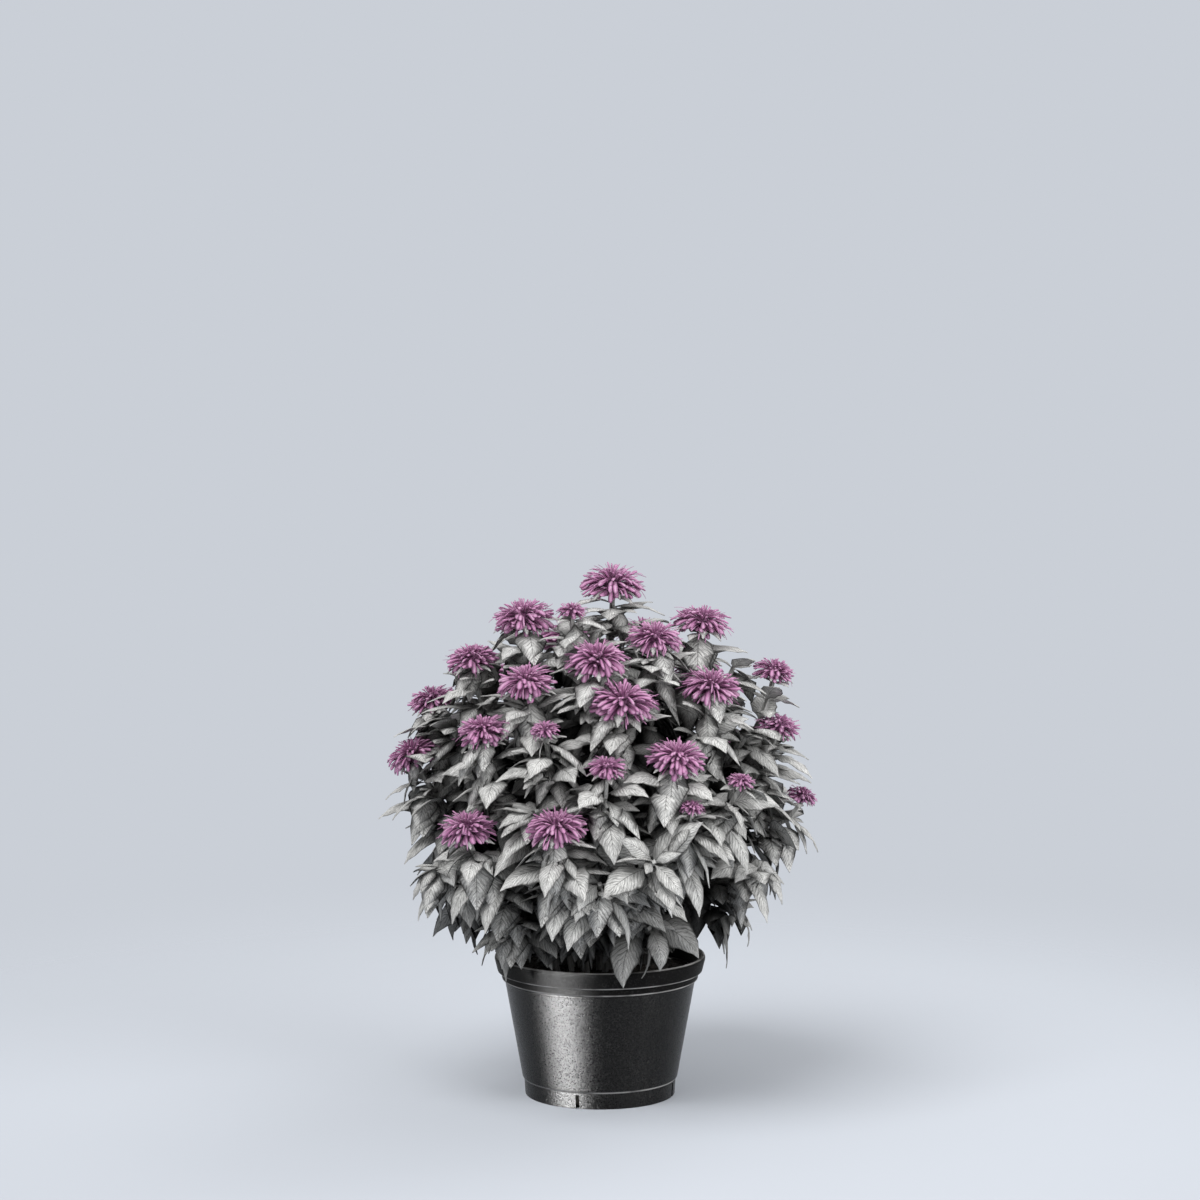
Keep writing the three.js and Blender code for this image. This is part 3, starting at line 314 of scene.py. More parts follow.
# Shares of a blade's length at which its loops of points stand, and the number of points across.
BLADE_STATIONS = np.array([0, 0.05, 0.12, 0.18, 0.26, 0.36, 0.47, 0.58, 0.69, 0.8, 0.91, 1])
SMALL_STATIONS = np.array([0, 0.06, 0.14, 0.24, 0.38, 0.54, 0.7, 0.86, 1])
TINY_STATIONS = np.array([0, 0.12, 0.26, 0.46, 0.7, 1])
STEM_TONE = 0.5
BLADE_ACROSS = 5
TINY_ACROSS = 3
# A blade's crest as a height and a share of its half width, and its midrib's depth and width.
CREST = (0.35, 0.075)
FOLD_POWER = 1.3
MIDRIB = (0.5, 0.16)
BROAD_FROM = (1, 6)
LIFT_FROM = (-0.05, 0.1)
TIP_FROM = 0.95
TIP_SHARE = 0.2
RIPPLE_PACE = 15
RIPPLE_START = 6.28
RIPPLE_LEAD = 1.6


def grow_blades(shares, knots, sides, halves, u, across, draws, plant):
    """Closed blades along their knots, as loops of points. At share u and v from -1 to 1 across, a
    point stands v * half width * oval(u) to the side, and h (1 - 2 |v|^1.3) up, less a sunken midrib
    and plus a ripple along the edge: h is half the CAD leaf's crest. One row runs along below."""
    line = along_knots(shares, knots, u)
    ahead = unit(np.gradient(line, u, axis=1))
    side = sides[:, None]
    side = unit(side - dot(side, ahead) * ahead)
    face = np.cross(ahead, side)
    tooth = 1 + plant.tooth_depth * np.where(np.arange(len(u)) % 2, 1, -1)
    least = STALK_HALF * np.where(u < TIP_FROM, 1, TIP_SHARE)
    half = np.maximum(halves[:, None] * oval(u) * tooth, least)
    v = np.linspace(-1, 1, across)
    broad = ramp(half[..., None], *BROAD_FROM)
    start = draws[:, 1, None, None] * RIPPLE_START
    wave = plant.ripple * draws[:, 0, None, None] * v**2
    wave = wave * np.sin(u[:, None] * RIPPLE_PACE + start + RIPPLE_LEAD * np.sign(v))
    groove = MIDRIB[0] * np.exp(-((v / MIDRIB[1]) ** 2))
    crest = CREST[0] + CREST[1] * half[..., None]
    lift = crest * (1 - 2 * np.abs(v) ** FOLD_POWER) + (wave - groove) * broad
    lift = lift * ramp(u, *LIFT_FROM)[:, None]
    wide = half[..., None] * v
    top = line[:, :, None] + side[:, :, None] * wide[..., None] + face[:, :, None] * lift[..., None]
    middle = across // 2
    thick = plant.leaf_thickness / MM * (1 - 0.5 * u)[:, None, None]
    under = top[:, :, middle:middle + 1] - face[:, :, None] * thick
    loops = np.concatenate([top, under], 2)
    return loops, loops_uv(loops, np.append(v, 0) * 0.5 + 0.5, u)


def loops_uv(loops, x, y):
    """The UV pairs of blades as loops of points: x for the points of a loop, and y for its station."""
    pairs = np.stack(np.broadcast_arrays(x, y[:, None]), -1)
    return np.broadcast_to(pairs, (len(loops), *pairs.shape))


def finish_blades(loops, uv, tones):
    """Points, faces, uv and tone of many blades as one skin. loops is blades x stations x sides x 3."""
    count, stations, sides = loops.shape[:3]
    tone = np.broadcast_to(tones[:, None, None], (count, stations, sides))
    return loops.reshape(-1, 3), tube_faces(count, stations, sides), uv.reshape(-1, 2), tone.ravel()


def joined(skins):
    """Several skins as one: their points one after another, with the corner numbers moved on."""
    start = np.cumsum([0] + [len(skin[0]) for skin in skins])
    faces = [rows + at for skin, at in zip(skins, start) for rows in skin[1]]
    return (np.concatenate([skin[0] for skin in skins]), faces,
            np.concatenate([skin[2] for skin in skins]), np.concatenate([skin[3] for skin in skins]))


def shade_depth_of(points):
    """0 at the bush's outline, and 1 deep inside it: the share of painted shade that a leaf or stem takes
    there.
    """
    return 1 - ramp(dome_share(points, SHADE_DOME), 0.4, 0.95)


# Veins of a leaf: pairs on its length, their slant and waver, how far apart two leaves' marks lie, and
# the power that lifts the middle tones.
LEAF_VEINS = 13.0
VEIN_SLANT = 0.25
VEIN_WAVER = 0.7
OWN_PLACE = 50.0
LEAF_CONTRAST = 0.72
# Heights of the pot's edges, worn pale and with a painted highlight: foot band, ledge, and the rim's foot
# and crest. In metres, how far these reach, and the heights at which the wall gives way to the duller
# rim.
WEAR_AND_HIGHLIGHT_EDGES = (13.0, 91.2, 97.0, 109.7)
WEAR_AND_HIGHLIGHT_REACH = (0.0002, 0.001, 1.0, 0.0)
RIM_FROM = (0.0895, 0.0915)
RIM_ROUGHER = 0.2
SHEEN = 0.16
RIM_SHEEN_LESS = -0.12


class Nodes:
    """A short hand for a material's node tree. span carries a value from low and high over to two others,
    and uv gives the UV map, its x and y, and how far x is from the middle, as 1 at either edge."""

    def __init__(self, name):
        self.material = bpy.data.materials.new(name)
        self.material.use_nodes = True
        self.tree = self.material.node_tree
        self.shader = self.tree.nodes["Principled BSDF"]

    def add(self, kind, out=0, **settings):
        node = self.tree.nodes.new("ShaderNode" + kind)
        for key, value in settings.items():
            if key.startswith("in_"):
                self.put(node.inputs[int(key[3:])], value)
            elif key in node.inputs:
                self.put(node.inputs[key], value)
            else:
                setattr(node, key, value)
        return node.outputs[out]

    def put(self, socket, value):
        if isinstance(value, bpy.types.NodeSocket):
            self.tree.links.new(value, socket)
        else:
            socket.default_value = value

    def math(self, operation, a, b=0.5, c=0.5):
        return self.add("Math", operation=operation, in_0=a, in_1=b, in_2=c)

    def product(self, whole, *factors):
        for factor in factors:
            whole = self.math("MULTIPLY", whole, factor)
        return whole

    def mix(self, share, a, b):
        return self.add("Mix", 2, data_type="RGBA", in_0=share, in_6=a, in_7=b)

    def span(self, value, low, high, to_low=0.0, to_high=1.0):
        return self.add("MapRange", interpolation_type="SMOOTHSTEP", in_0=value, in_1=low, in_2=high,
                        in_3=to_low, in_4=to_high)

    def noise(self, where, scale, detail=2.0, rough=0.5):
        return self.add("TexNoise", in_0=where, in_2=scale, in_3=detail, in_4=rough)

    def value(self, name):
        return self.add("Attribute", "Fac", attribute_name=name)

    def triple(self, x, y, z):
        return self.add("CombineXYZ", X=x, Y=y, Z=z)

    def uv(self):
        place = self.add("UVMap", uv_map="UVMap")
        x, y = (self.add("SeparateXYZ", axis, Vector=place) for axis in "XY")
        return place, x, y, self.product(self.math("ABSOLUTE", self.math("SUBTRACT", x, 0.5)), 2.0)

    def place(self):
        return self.add("TexCoord", "Object")

    def bump(self, height, strength, distance):
        bumped = self.add("Bump", Height=height, Strength=strength, Distance=distance)
        self.put(self.shader.inputs["Normal"], bumped)

    def finish(self, color, roughness, **fixed):
        self.put(self.shader.inputs["Base Color"], color)
        self.put(self.shader.inputs["Roughness"], roughness)
        for key, value in fixed.items():
            self.shader.inputs[key.replace("_", " ")].default_value = value
        return self.material


def leaf_finish(plant):
    """Grey leaf: feather veins, streaks along them, a dark margin, and painted shade towards its stalk,
    its edges and deep in the bush.
    """
    n = Nodes("bee_balm_leaf")
    uv, x, y, across = n.uv()
    tone = n.value("tone")
    rib = n.span(across, 0.0, 0.06, 1.0, 0.0)
    edge = n.span(across, 0.84, 0.96)
    phase = n.product(n.math("SUBTRACT", y, n.product(across, VEIN_SLANT)), LEAF_VEINS)
    phase = n.math("ADD", phase, n.product(n.noise(uv, 6.0), VEIN_WAVER))
    vein = n.span(n.math("PINGPONG", phase, 0.5), 0.02, 0.16, 1.0, 0.0)
    own = n.product(tone, OWN_PLACE)
    hatch = n.noise(n.triple(n.product(x, 3.0), n.product(phase, 1.7), own), 1.6, 4.0, 0.75)
    patch = n.noise(n.triple(x, n.product(y, 1.6), own), 2.2, 1.0)
    grain = n.noise(n.place(), 1800.0, 2.0, 0.7)
    light = n.product(
        n.math("MULTIPLY_ADD", tone, 0.4, 0.78),
        n.span(hatch, 0.4, 0.58, 0.42, 1.1),
        n.span(patch, 0.3, 0.65, 0.75, 1.15),
        n.span(grain, 0.3, 0.7, 0.8, 1.1),
        n.math("MULTIPLY_ADD", vein, -0.6, 1.0),
        n.math("MULTIPLY_ADD", rib, -0.75, 1.0),
        n.math("MULTIPLY_ADD", edge, -0.85, 1.0),
        # These three factors are painted shade: darker towards the stalk, towards the edges and deep
        # inside the bush.
        n.span(y, 0.0, 0.5, 0.45, 1.05),
        n.span(across, 0.15, 1.0, 1.08, 0.62),
        n.span(n.value("depth"), 0.0, 0.8, 1.0, 0.02),
    )
    light = n.math("POWER", n.math("MINIMUM", light, 1.0), LEAF_CONTRAST)
    color = n.mix(light, (*plant.leaf_dark, 1), (*plant.leaf_light, 1))
    n.bump(n.math("ADD", n.product(vein, -0.7), n.product(hatch, 0.5)), 0.6, 0.0006)
    return n.finish(color, n.span(hatch, 0.2, 0.8, 0.55, 0.75), Specular_IOR_Level=0.3)


def stem_finish(plant):
    """Grey stem: long streaks, and painted shade that darkens it deep inside the bush, towards the soil.
    """
    n = Nodes("bee_balm_stem")
    place = n.add("VectorMath", operation="MULTIPLY", in_0=n.place(), in_1=(1, 1, 0.12))
    streak = n.noise(place, 900.0, 3.0, 0.6)
    # The depth factor is painted shade, darker deep inside the bush.
    light = n.product(n.span(streak, 0.3, 0.7, 0.25, 0.65), n.span(n.value("depth"), 0.1, 0.9, 1.0, 0.08))
    color = n.mix(light, (*plant.leaf_dark, 1), (*plant.leaf_light, 1))
    n.bump(streak, 0.4, 0.0004)
    return n.finish(color, 0.6)


def petal_finish(flower):
    """Floret: fine streaks along it, painted shade at its throat and along its margins, and a painted
    highlight along its ridge.
    """
    n = Nodes("bee_balm_petal")
    _, x, y, across = n.uv()
    streak = n.noise(n.triple(n.product(x, 4.0), y, n.value("tone")), 3.0, 2.0, 0.6)
    # Painted shade: darker towards the throat and along the margins.
    shade = n.product(n.span(y, 0.05, 0.55), n.span(across, 0.5, 1.0, 1.0, 0.25),
                      n.span(streak, 0.25, 0.7, 0.55, 1.05))
    color = n.mix(shade, (*flower.throat_shade, 1), (*flower.petal, 1))
    # Painted highlight along the floret's ridge, towards its tip.
    ridge_highlight = n.product(n.span(across, 0.0, 0.5, 1.0, 0.0), n.span(y, 0.45, 0.9),
                      n.math("MULTIPLY_ADD", n.value("tone"), 0.55, 0.1))
    color = n.mix(ridge_highlight, color, (*flower.pale, 1))
    n.bump(streak, 0.3, 0.0004)
    return n.finish(color, 0.55, Sheen_Weight=0.15)


def pot_finish(pot):
    """Black moulded plastic with a fine grain, whose turned surface draws highlights out upright. Its
    edges are worn pale with a painted highlight, and its rim is duller."""
    n = Nodes("pot_plastic")
    place = n.place()
    grain = n.noise(place, 750.0, 3.0, 0.75)
    cloud = n.noise(place, 30.0, 3.0, 0.6)
    shade = n.product(n.span(grain, 0.5, 0.66), n.span(cloud, 0.3, 0.7, 0.4, 1.0))
    color = n.mix(shade, (*pot.dark, 1), (*pot.pale, 1))
    height = n.add("SeparateXYZ", "Z", Vector=place)
    wear_and_highlight = 0.0
    for edge in WEAR_AND_HIGHLIGHT_EDGES:
        off = n.math("ABSOLUTE", n.math("SUBTRACT", height, edge * MM))
        wear_and_highlight = n.math("MAXIMUM", wear_and_highlight, n.span(off, *WEAR_AND_HIGHLIGHT_REACH))
    # Pale bands along the edges: wear, and a painted highlight where the edges catch the light.
    wear_and_highlight = n.product(wear_and_highlight, n.span(cloud, 0.35, 0.6, 0.25, 1.0))
    color = n.mix(wear_and_highlight, color, (*pot.wear_and_highlight, 1))
    n.bump(grain, 0.7, 0.0005)
    n.put(n.shader.inputs["Tangent"], n.add("Tangent", direction_type="RADIAL", axis="Z"))
    rim = n.span(height, *RIM_FROM)
    rough = n.math("MULTIPLY_ADD", rim, RIM_ROUGHER, n.span(grain, 0.35, 0.65, 0.24, 0.46))
    n.put(n.shader.inputs["Specular IOR Level"], n.math("MULTIPLY_ADD", rim, RIM_SHEEN_LESS, SHEEN))
    return n.finish(color, rough, Anisotropic=0.9, Anisotropic_Rotation=pot.sheen_turn)


def soil_finish(pot):
    """Dark crumbly compost with pale specks."""
    n = Nodes("potting_soil")
    place = n.place()
    coarse = n.noise(place, 220.0, 5.0, 0.75)
    speck = n.product(n.span(n.noise(place, 700.0, 2.0, 0.6), 0.62, 0.7), 0.35)
    color = n.mix(n.span(coarse, 0.3, 0.75), (*pot.soil_dark, 1), (*pot.soil_pale, 1))
    n.bump(coarse, 1.0, 0.0015)
    return n.finish(n.mix(speck, color, (0.25, 0.23, 0.21, 1)), 0.95, Specular_IOR_Level=0.2)


def length(name, text, default):
    """A length in metres."""
    return bpy.props.FloatProperty(name=name, description=text, default=default, unit="LENGTH",
                                   precision=4)


def number(name, text, default):
    return bpy.props.FloatProperty(name=name, description=text, default=default)


def count(name, text, default):
    return bpy.props.IntProperty(name=name, description=text, default=default, min=1)


def color(name, text, default):
    return bpy.props.FloatVectorProperty(name=name, description=text, default=default, size=3,
                                         subtype="COLOR", min=0, max=1)


class BeeBalmPot(bpy.types.PropertyGroup):
    height: length("Height", "Height of the pot, with its rim", 0.110)
    rim: length("Rim Radius", "Outer radius of the pot's rim", 0.0825)
    body_high: length("Body Radius", "Outer radius of the body below its ledge", 0.0746)
    body_low: length("Body Foot Radius", "Outer radius of the body above its foot band", 0.0608)
    foot: length("Foot Radius", "Outer radius of the pot's flat base", 0.0586)
    wall: length("Wall", "Thickness of the pot's wall", 0.0019)
    slot_wide: length("Slot Width", "Width of a drain slot", 0.003)
    slot_high: length("Slot Height", "Height of a drain slot", 0.011)
    sides: count("Sides", "Number of sides of the round pot", 144)
    crumbs: count("Crumbs", "Number of loose crumbs on the soil", 420)
    dark: color("Dark", "Darkest tone of the pot", (0.003, 0.003, 0.003))
    pale: color("Pale", "Palest grain of the pot", (0.02, 0.0195, 0.019))
    # Colour of the pale edge bands: wear, and a painted highlight along the edges.
    wear_and_highlight: color("Worn", "Colour of the pot's worn edges", (0.26, 0.255, 0.25))
    sheen_turn: number("Sheen Turn", "Turn of the drawn-out highlight, in whole turns", 0.25)
    soil_dark: color("Soil Dark", "Darkest tone of the soil", (0.006, 0.005, 0.004))
    soil_pale: color("Soil Pale", "Palest tone of the soil", (0.07, 0.062, 0.054))


class BeeBalmPlant(bpy.types.PropertyGroup):
    leaf_thickness: length("Leaf Thickness", "Thickness of a blade at its stalk", 0.0006)
    tooth_depth: number("Teeth", "Depth of the teeth, as a share of a blade's half width", 0.05)
    ripple: number("Ripple", "Height of the wave along a blade's edge, in mm", 0.9)
    inner_leaves: count("Inner Leaves", "Number of small leaves that fill the bush", 3400)
    # The darkest tone is that of the veins and of the painted shade deep inside the bush.
    leaf_dark: color("Leaf Dark", "Tone of the veins and of leaves deep inside", (0.008, 0.008, 0.007))
    leaf_light: color("Leaf Light", "Tone of the palest leaves", (0.665, 0.665, 0.65))


class BeeBalmFlower(bpy.types.PropertyGroup):
    floret_half: length("Floret Half Width", "Half width of a floret on the widest head", 0.0019)
    curl: number("Curl", "How far a floret arches over on its way out, in degrees", 24)
    petal: color("Petal", "Main colour of a floret", (0.55, 0.235, 0.445))
    # Colour of the painted highlight along a floret's ridge.
    pale: color("Pale", "Colour of a floret's ridge", (0.53, 0.44, 0.51))
    # Colour of the painted shade at a floret's throat and margins.
    throat_shade: color("Throat", "Colour of a floret at its throat", (0.10, 0.012, 0.075))


class BeeBalmStage(bpy.types.PropertyGroup):
    eye: bpy.props.FloatVectorProperty(name="Eye", description="Place of the camera", size=3,
                                       default=(0, -2.2, 0.53), subtype="TRANSLATION", unit="LENGTH")
    aim_height: length("Aim Height", "Height that the camera looks at", 0.387)
    lens: number("Lens", "Focal length of the camera, in mm", 85.14)
    floor_radius: length("Floor Radius", "Radius of the floor", 3.0)
    backdrop: color("Backdrop", "Colour of the backdrop and the floor", (0.591, 0.624, 0.679))
    floor_tone: number("Floor Tone", "How pale the floor is, as a share of the backdrop", 0.85)


# The pot's outline. LEDGE has rows of radius and height, and the rim has rows of how far in and height.
BODY_FOOT = 13
BODY_RISE = 77.5
LEDGE = ((76.5, 91), (76.8, 92.2), (76.6, 96.5))
RIM_OUTSIDE = ((3.3, 96.6), (2.4, 97.4), (0.15, 106.4), (0, 107.4), (0.5, 109.2))
RIM_CREST = 1.5
RIM_INSIDE = ((2.9, 109.7), (3.6, 108.6), (4.6, 104))
INSIDE_TOP = (96.5, 96.2)
INSIDE_FLOOR = 2.4
POT_ROUND = 0.5
SLOT_REACH = (54, 72)
SLOT_UNDER = -1
FIRST_SLOT = -107
# The soil, with the foot as radius and height, and its crumbs.
SOIL_FOOT = (56.3, 2.7)
SOIL_EDGE = 73.3
SOIL_SHOULDER = 96
SOIL_WALL = 97.5
SOIL_MIDDLE = 101
SOIL_WAVE = 0.45
SOIL_RINGS = 44
SOIL_SIDES = 160
CRUMB_SPREAD = 0.97
CRUMB_SIZES = (0.6, 1.7)
CRUMB_RAISED = 0.25
CRUMB_SIDES = 5
CRUMB_PROFILE = ((0, -0.8), (0.8, -0.35), (0.75, 0.4), (0, 0.8))
CRUMB_ROUGH = 0.5


def turned(profile, sides):
    """A closed skin from a profile of (radius, height) rows turned about the upright axis. The first
    and last rows lie on the axis and become poles."""
    profile = np.asarray(profile, float)
    turn = turns(sides)
    radius, height = profile[1:-1, 0, None], profile[1:-1, 1, None]
    rings = np.stack([radius * np.cos(turn), radius * np.sin(turn), height + 0 * turn], -1)
    points = np.concatenate([rings.reshape(-1, 3), [(0, 0, profile[0, 1]), (0, 0, profile[-1, 1])]])
    here = np.arange(sides)
    after = (here + 1) % sides
    end = (len(profile) - 3) * sides
    low = np.stack([after, here, here * 0 + len(points) - 2], -1)
    high = np.stack([end + here, end + after, here * 0 + len(points) - 1], -1)
    return points, [band_faces(np.arange(0, end, sides), sides), np.concatenate([low, high])]


def rounded(profile, radius, steps=3):
    """The profile with each corner cut back by up to radius and rounded: a point of the round is
    (1-s)^2 a + 2 s (1-s) corner + s^2 b between the two cut ends a and b."""
    profile = np.asarray(profile, float)
    rows = [profile[0]]
    for before, corner, after in zip(profile[:-2], profile[1:-1], profile[2:]):
        cuts = [corner + unit(end - corner) * min(radius, 0.45 * np.linalg.norm(end - corner))
                for end in (before, after)]
        for s in np.linspace(0, 1, steps + 1):
            rows.append((1 - s) ** 2 * cuts[0] + 2 * s * (1 - s) * corner + s**2 * cuts[1])
    return np.array(rows + [profile[-1]])


def pot_outline(pot):
    """The pot's outline from the middle of its base, up its outside, over the rim and down inside."""
    foot, low, top, rim = (part / MM for part in (pot.foot, pot.body_low, pot.body_high, pot.rim))
    slope = (top - low) / BODY_RISE
    inside = [low - pot.wall / MM + slope * (z - BODY_FOOT) for z in (INSIDE_TOP[0], INSIDE_FLOOR)]
    return [(0, 0), (foot, 0), (foot + 0.8, 12.4), (low - 0.6, 13.2), (low, 14.2), (top - 0.35, 88.6),
            (top, 89.2), (top, 90.3), *LEDGE, *[(rim - inward, z) for inward, z in RIM_OUTSIDE],
            (rim - RIM_CREST, pot.height / MM), *[(rim - inward, z) for inward, z in RIM_INSIDE],
            (inside[0], INSIDE_TOP[1]), (inside[1], INSIDE_FLOOR), (0, INSIDE_FLOOR)]


class BEEBALM_OT_pot(bpy.types.Operator):
    """Turns the pot: foot band, tapering body, ledge, rolled rim and four drain slots"""

    bl_idname = "beebalm.pot"
    bl_label = "Pot"

    def execute(self, context):
        pot = context.scene.bee_balm_pot
        points, faces = turned(rounded(pot_outline(pot), POT_ROUND), pot.sides)
        piece = put_mesh("pot_turned", points, faces, [pot_finish(pot)], ["pot"])
        cutter = slot_cutter(pot)
        cut = piece.modifiers.new("drains", "BOOLEAN")
        cut.operation = "DIFFERENCE"
        cut.solver = "EXACT"
        cut.object = cutter
        graph = context.evaluated_depsgraph_get()
        mesh = bpy.data.meshes.new_from_object(piece.evaluated_get(graph))
        piece.modifiers.clear()
        piece.data = mesh
        mesh.set_sharp_from_angle(angle=np.radians(SHARP["pot"]))
        bpy.data.objects.remove(cutter)
        return {"FINISHED"}


def slot_cutter(pot):
    """Four boxes that cut the drain slots, as one object."""
    wide, high = pot.slot_wide / MM / 2, pot.slot_high / MM
    box = [(x, y, z) for x in SLOT_REACH for y in (-wide, wide) for z in (SLOT_UNDER, high)]
    box = np.array(box, float)
    turn = np.radians(FIRST_SLOT + 90 * np.arange(4))
    cos, sin = np.cos(turn)[:, None], np.sin(turn)[:, None]
    points = np.stack([box[:, 0] * cos - box[:, 1] * sin, box[:, 0] * sin + box[:, 1] * cos,
                       box[:, 2] + 0 * cos], -1).reshape(-1, 3)
    faces = np.array([(0, 1, 3, 2), (4, 6, 7, 5), (0, 4, 5, 1), (2, 3, 7, 6), (0, 2, 6, 4), (1, 5, 7, 3)])
    mesh = bpy.data.meshes.new("slots")
    mesh.from_pydata(points * MM, [], (faces + 8 * np.arange(4)[:, None, None]).reshape(-1, 4).tolist())
    return added("slots", mesh)


class BEEBALM_OT_soil(bpy.types.Operator):
    """Fills the pot with lumpy soil and loose crumbs"""

    bl_idname = "beebalm.soil"
    bl_label = "Soil"

    def execute(self, context):
        pot = context.scene.bee_balm_pot
        rng = np.random.default_rng(SEEDS["soil"])
        reach = np.linspace(0, 1, SOIL_RINGS)[::-1]
        profile = [(0, SOIL_FOOT[1]), SOIL_FOOT, (SOIL_EDGE, SOIL_SHOULDER),
                   *[(SOIL_EDGE * r, SOIL_WALL) for r in reach[:-1]], (0, SOIL_MIDDLE)]
        points, faces = turned(profile, SOIL_SIDES)
        top = points[:, 2] >= SOIL_WALL
        x, y = points[top, 0], points[top, 1]
        points[top, 2] = soil_height(x, y) + crumble(x, y)
        share = np.sqrt(rng.random(pot.crumbs)) * CRUMB_SPREAD
        turn = rng.random(pot.crumbs) * 2 * np.pi
        cx, cy = SOIL_EDGE * share * np.cos(turn), SOIL_EDGE * share * np.sin(turn)
        size = CRUMB_SIZES[0] + CRUMB_SIZES[1] * rng.random(pot.crumbs) ** 2
        centre = np.stack([cx, cy, soil_height(cx, cy) + CRUMB_RAISED * size], -1)
        lumps = crumb_skins(centre, size, rng)
        start = len(points)
        points = np.concatenate([points, lumps[0]])
        faces = faces + [rows + start for rows in lumps[1]]
        put_mesh("soil_crumbly", points, faces, [soil_finish(pot)], ["soil"],
                 sharp=SHARP["soil"])
        return {"FINISHED"}


def soil_height(x, y):
    """Low mound: 101 in the middle, down to 97.5 at the pot's wall as the cube of the reach, with
    waves sin(0.19 x + 1) cos(0.23 y) + sin(0.11 x - 0.17 y), 0.45 high."""
    share = np.minimum(1, np.hypot(x, y) / SOIL_EDGE)
    lumps = np.sin(x * 0.19 + 1) * np.cos(y * 0.23) + np.sin(x * 0.11 - y * 0.17)
    return SOIL_MIDDLE - (SOIL_MIDDLE - SOIL_WALL) * share**3 + SOIL_WAVE * lumps


def crumble(x, y):
    """Small lumps: the sum of bent waves in five directions. Each is half as long again as fine, and
    lower, than the one before: sin(p a + 2 sin(0.4 p (y - x) + k)) / (1 + 0.6 k), 0.4 high."""
    lumps = 0
    for k in range(5):
        turn, pace = 1.3 * k + 0.4, 0.55 * 1.5**k
        along = x * np.cos(turn) + y * np.sin(turn)
        lumps = lumps + np.sin(along * pace + 2 * np.sin(pace * (y - x) * 0.4 + k)) / (1 + 0.6 * k)
    return 0.4 * lumps


def crumb_skins(centre, size, rng):
    """Loose crumbs: closed double cones whose corners are moved at random."""
    shape, faces = turned(CRUMB_PROFILE, CRUMB_SIDES)
    rough = 1 + CRUMB_ROUGH * (rng.random((len(size), *shape.shape)) - 0.5)
    points = centre[:, None] + shape * rough * size[:, None, None]
    step = np.arange(len(size))[:, None, None] * len(shape)
    return points.reshape(-1, 3), [(rows + step).reshape(-1, rows.shape[1]) for rows in faces]


class BEEBALM_OT_leafy_stems(bpy.types.Operator):
    """Grows each square stem with its veined, toothed leaves where the CAD stem has them"""

    bl_idname = "beebalm.leafy_stems"
    bl_label = "Leafy Stems"

    def execute(self, context):
        plant = context.scene.bee_balm_plant
        finishes = [leaf_finish(plant), stem_finish(plant)]
        rng = np.random.default_rng(SEEDS["stems"])
        for node in STEMS:
            leaves, corners, bare, doors = read_stem(node)
            skins = []
            for small, shares in ((False, (0, *BLADE_SHARES, 1)), (True, (0, *SMALL_SHARES, 1))):
                own = [leaf for leaf in leaves if leaf[0] == small]
                if not own:
                    continue
                knots, sides = np.array([leaf[1] for leaf in own]), np.array([leaf[2] for leaf in own])
                halves = np.array([leaf[3] for leaf in own])
                draws = rng.random((len(own), 3))
                stations = SMALL_STATIONS if small else BLADE_STATIONS
                loops, uv = grow_blades(shares, knots, sides, halves, stations, BLADE_ACROSS, draws,
                                        plant)
                skins.append(finish_blades(loops, uv, draws[:, 2]))
            blades = sum(len(rows) for skin in skins for rows in skin[1])
            plain = np.zeros((len(corners), 2))
            skins.append((corners, [bare, doors], plain, np.full(len(corners), STEM_TONE)))
            points, faces, uv, tone = joined(skins)
            total = sum(len(rows) for rows in faces)
            # The depth layer carries the painted shade that darkens leaves and stem deep inside the bush.
            put_mesh(node.replace("leafy_stem", "foliage"), points, faces, finishes, [node],
                     finish_of=(np.arange(total) >= blades).astype(int), sharp=SHARP["stems"],
                     layers={"tone": tone, "depth": shade_depth_of(points)}, uv=uv)
        return {"FINISHED"}


# Inner leaves: roots and tips as shares of the outline, turn and droop in radians, rise in degrees.
INNER_ROOTS = (0.25, 0.88)
INNER_LOWEST = 106
INNER_TURN = 3.4
INNER_RISE = (-55, 45)
INNER_LONG = (24, 42)
INNER_DROOP = 1.0
INNER_TIP = 0.93
INNER_HALF = 0.3
# This lowers the inner leaves' tone: painted shade for the leaves inside the bush.
INNER_SHADE_TONE = 0.8
STEM_ROOTS = 240


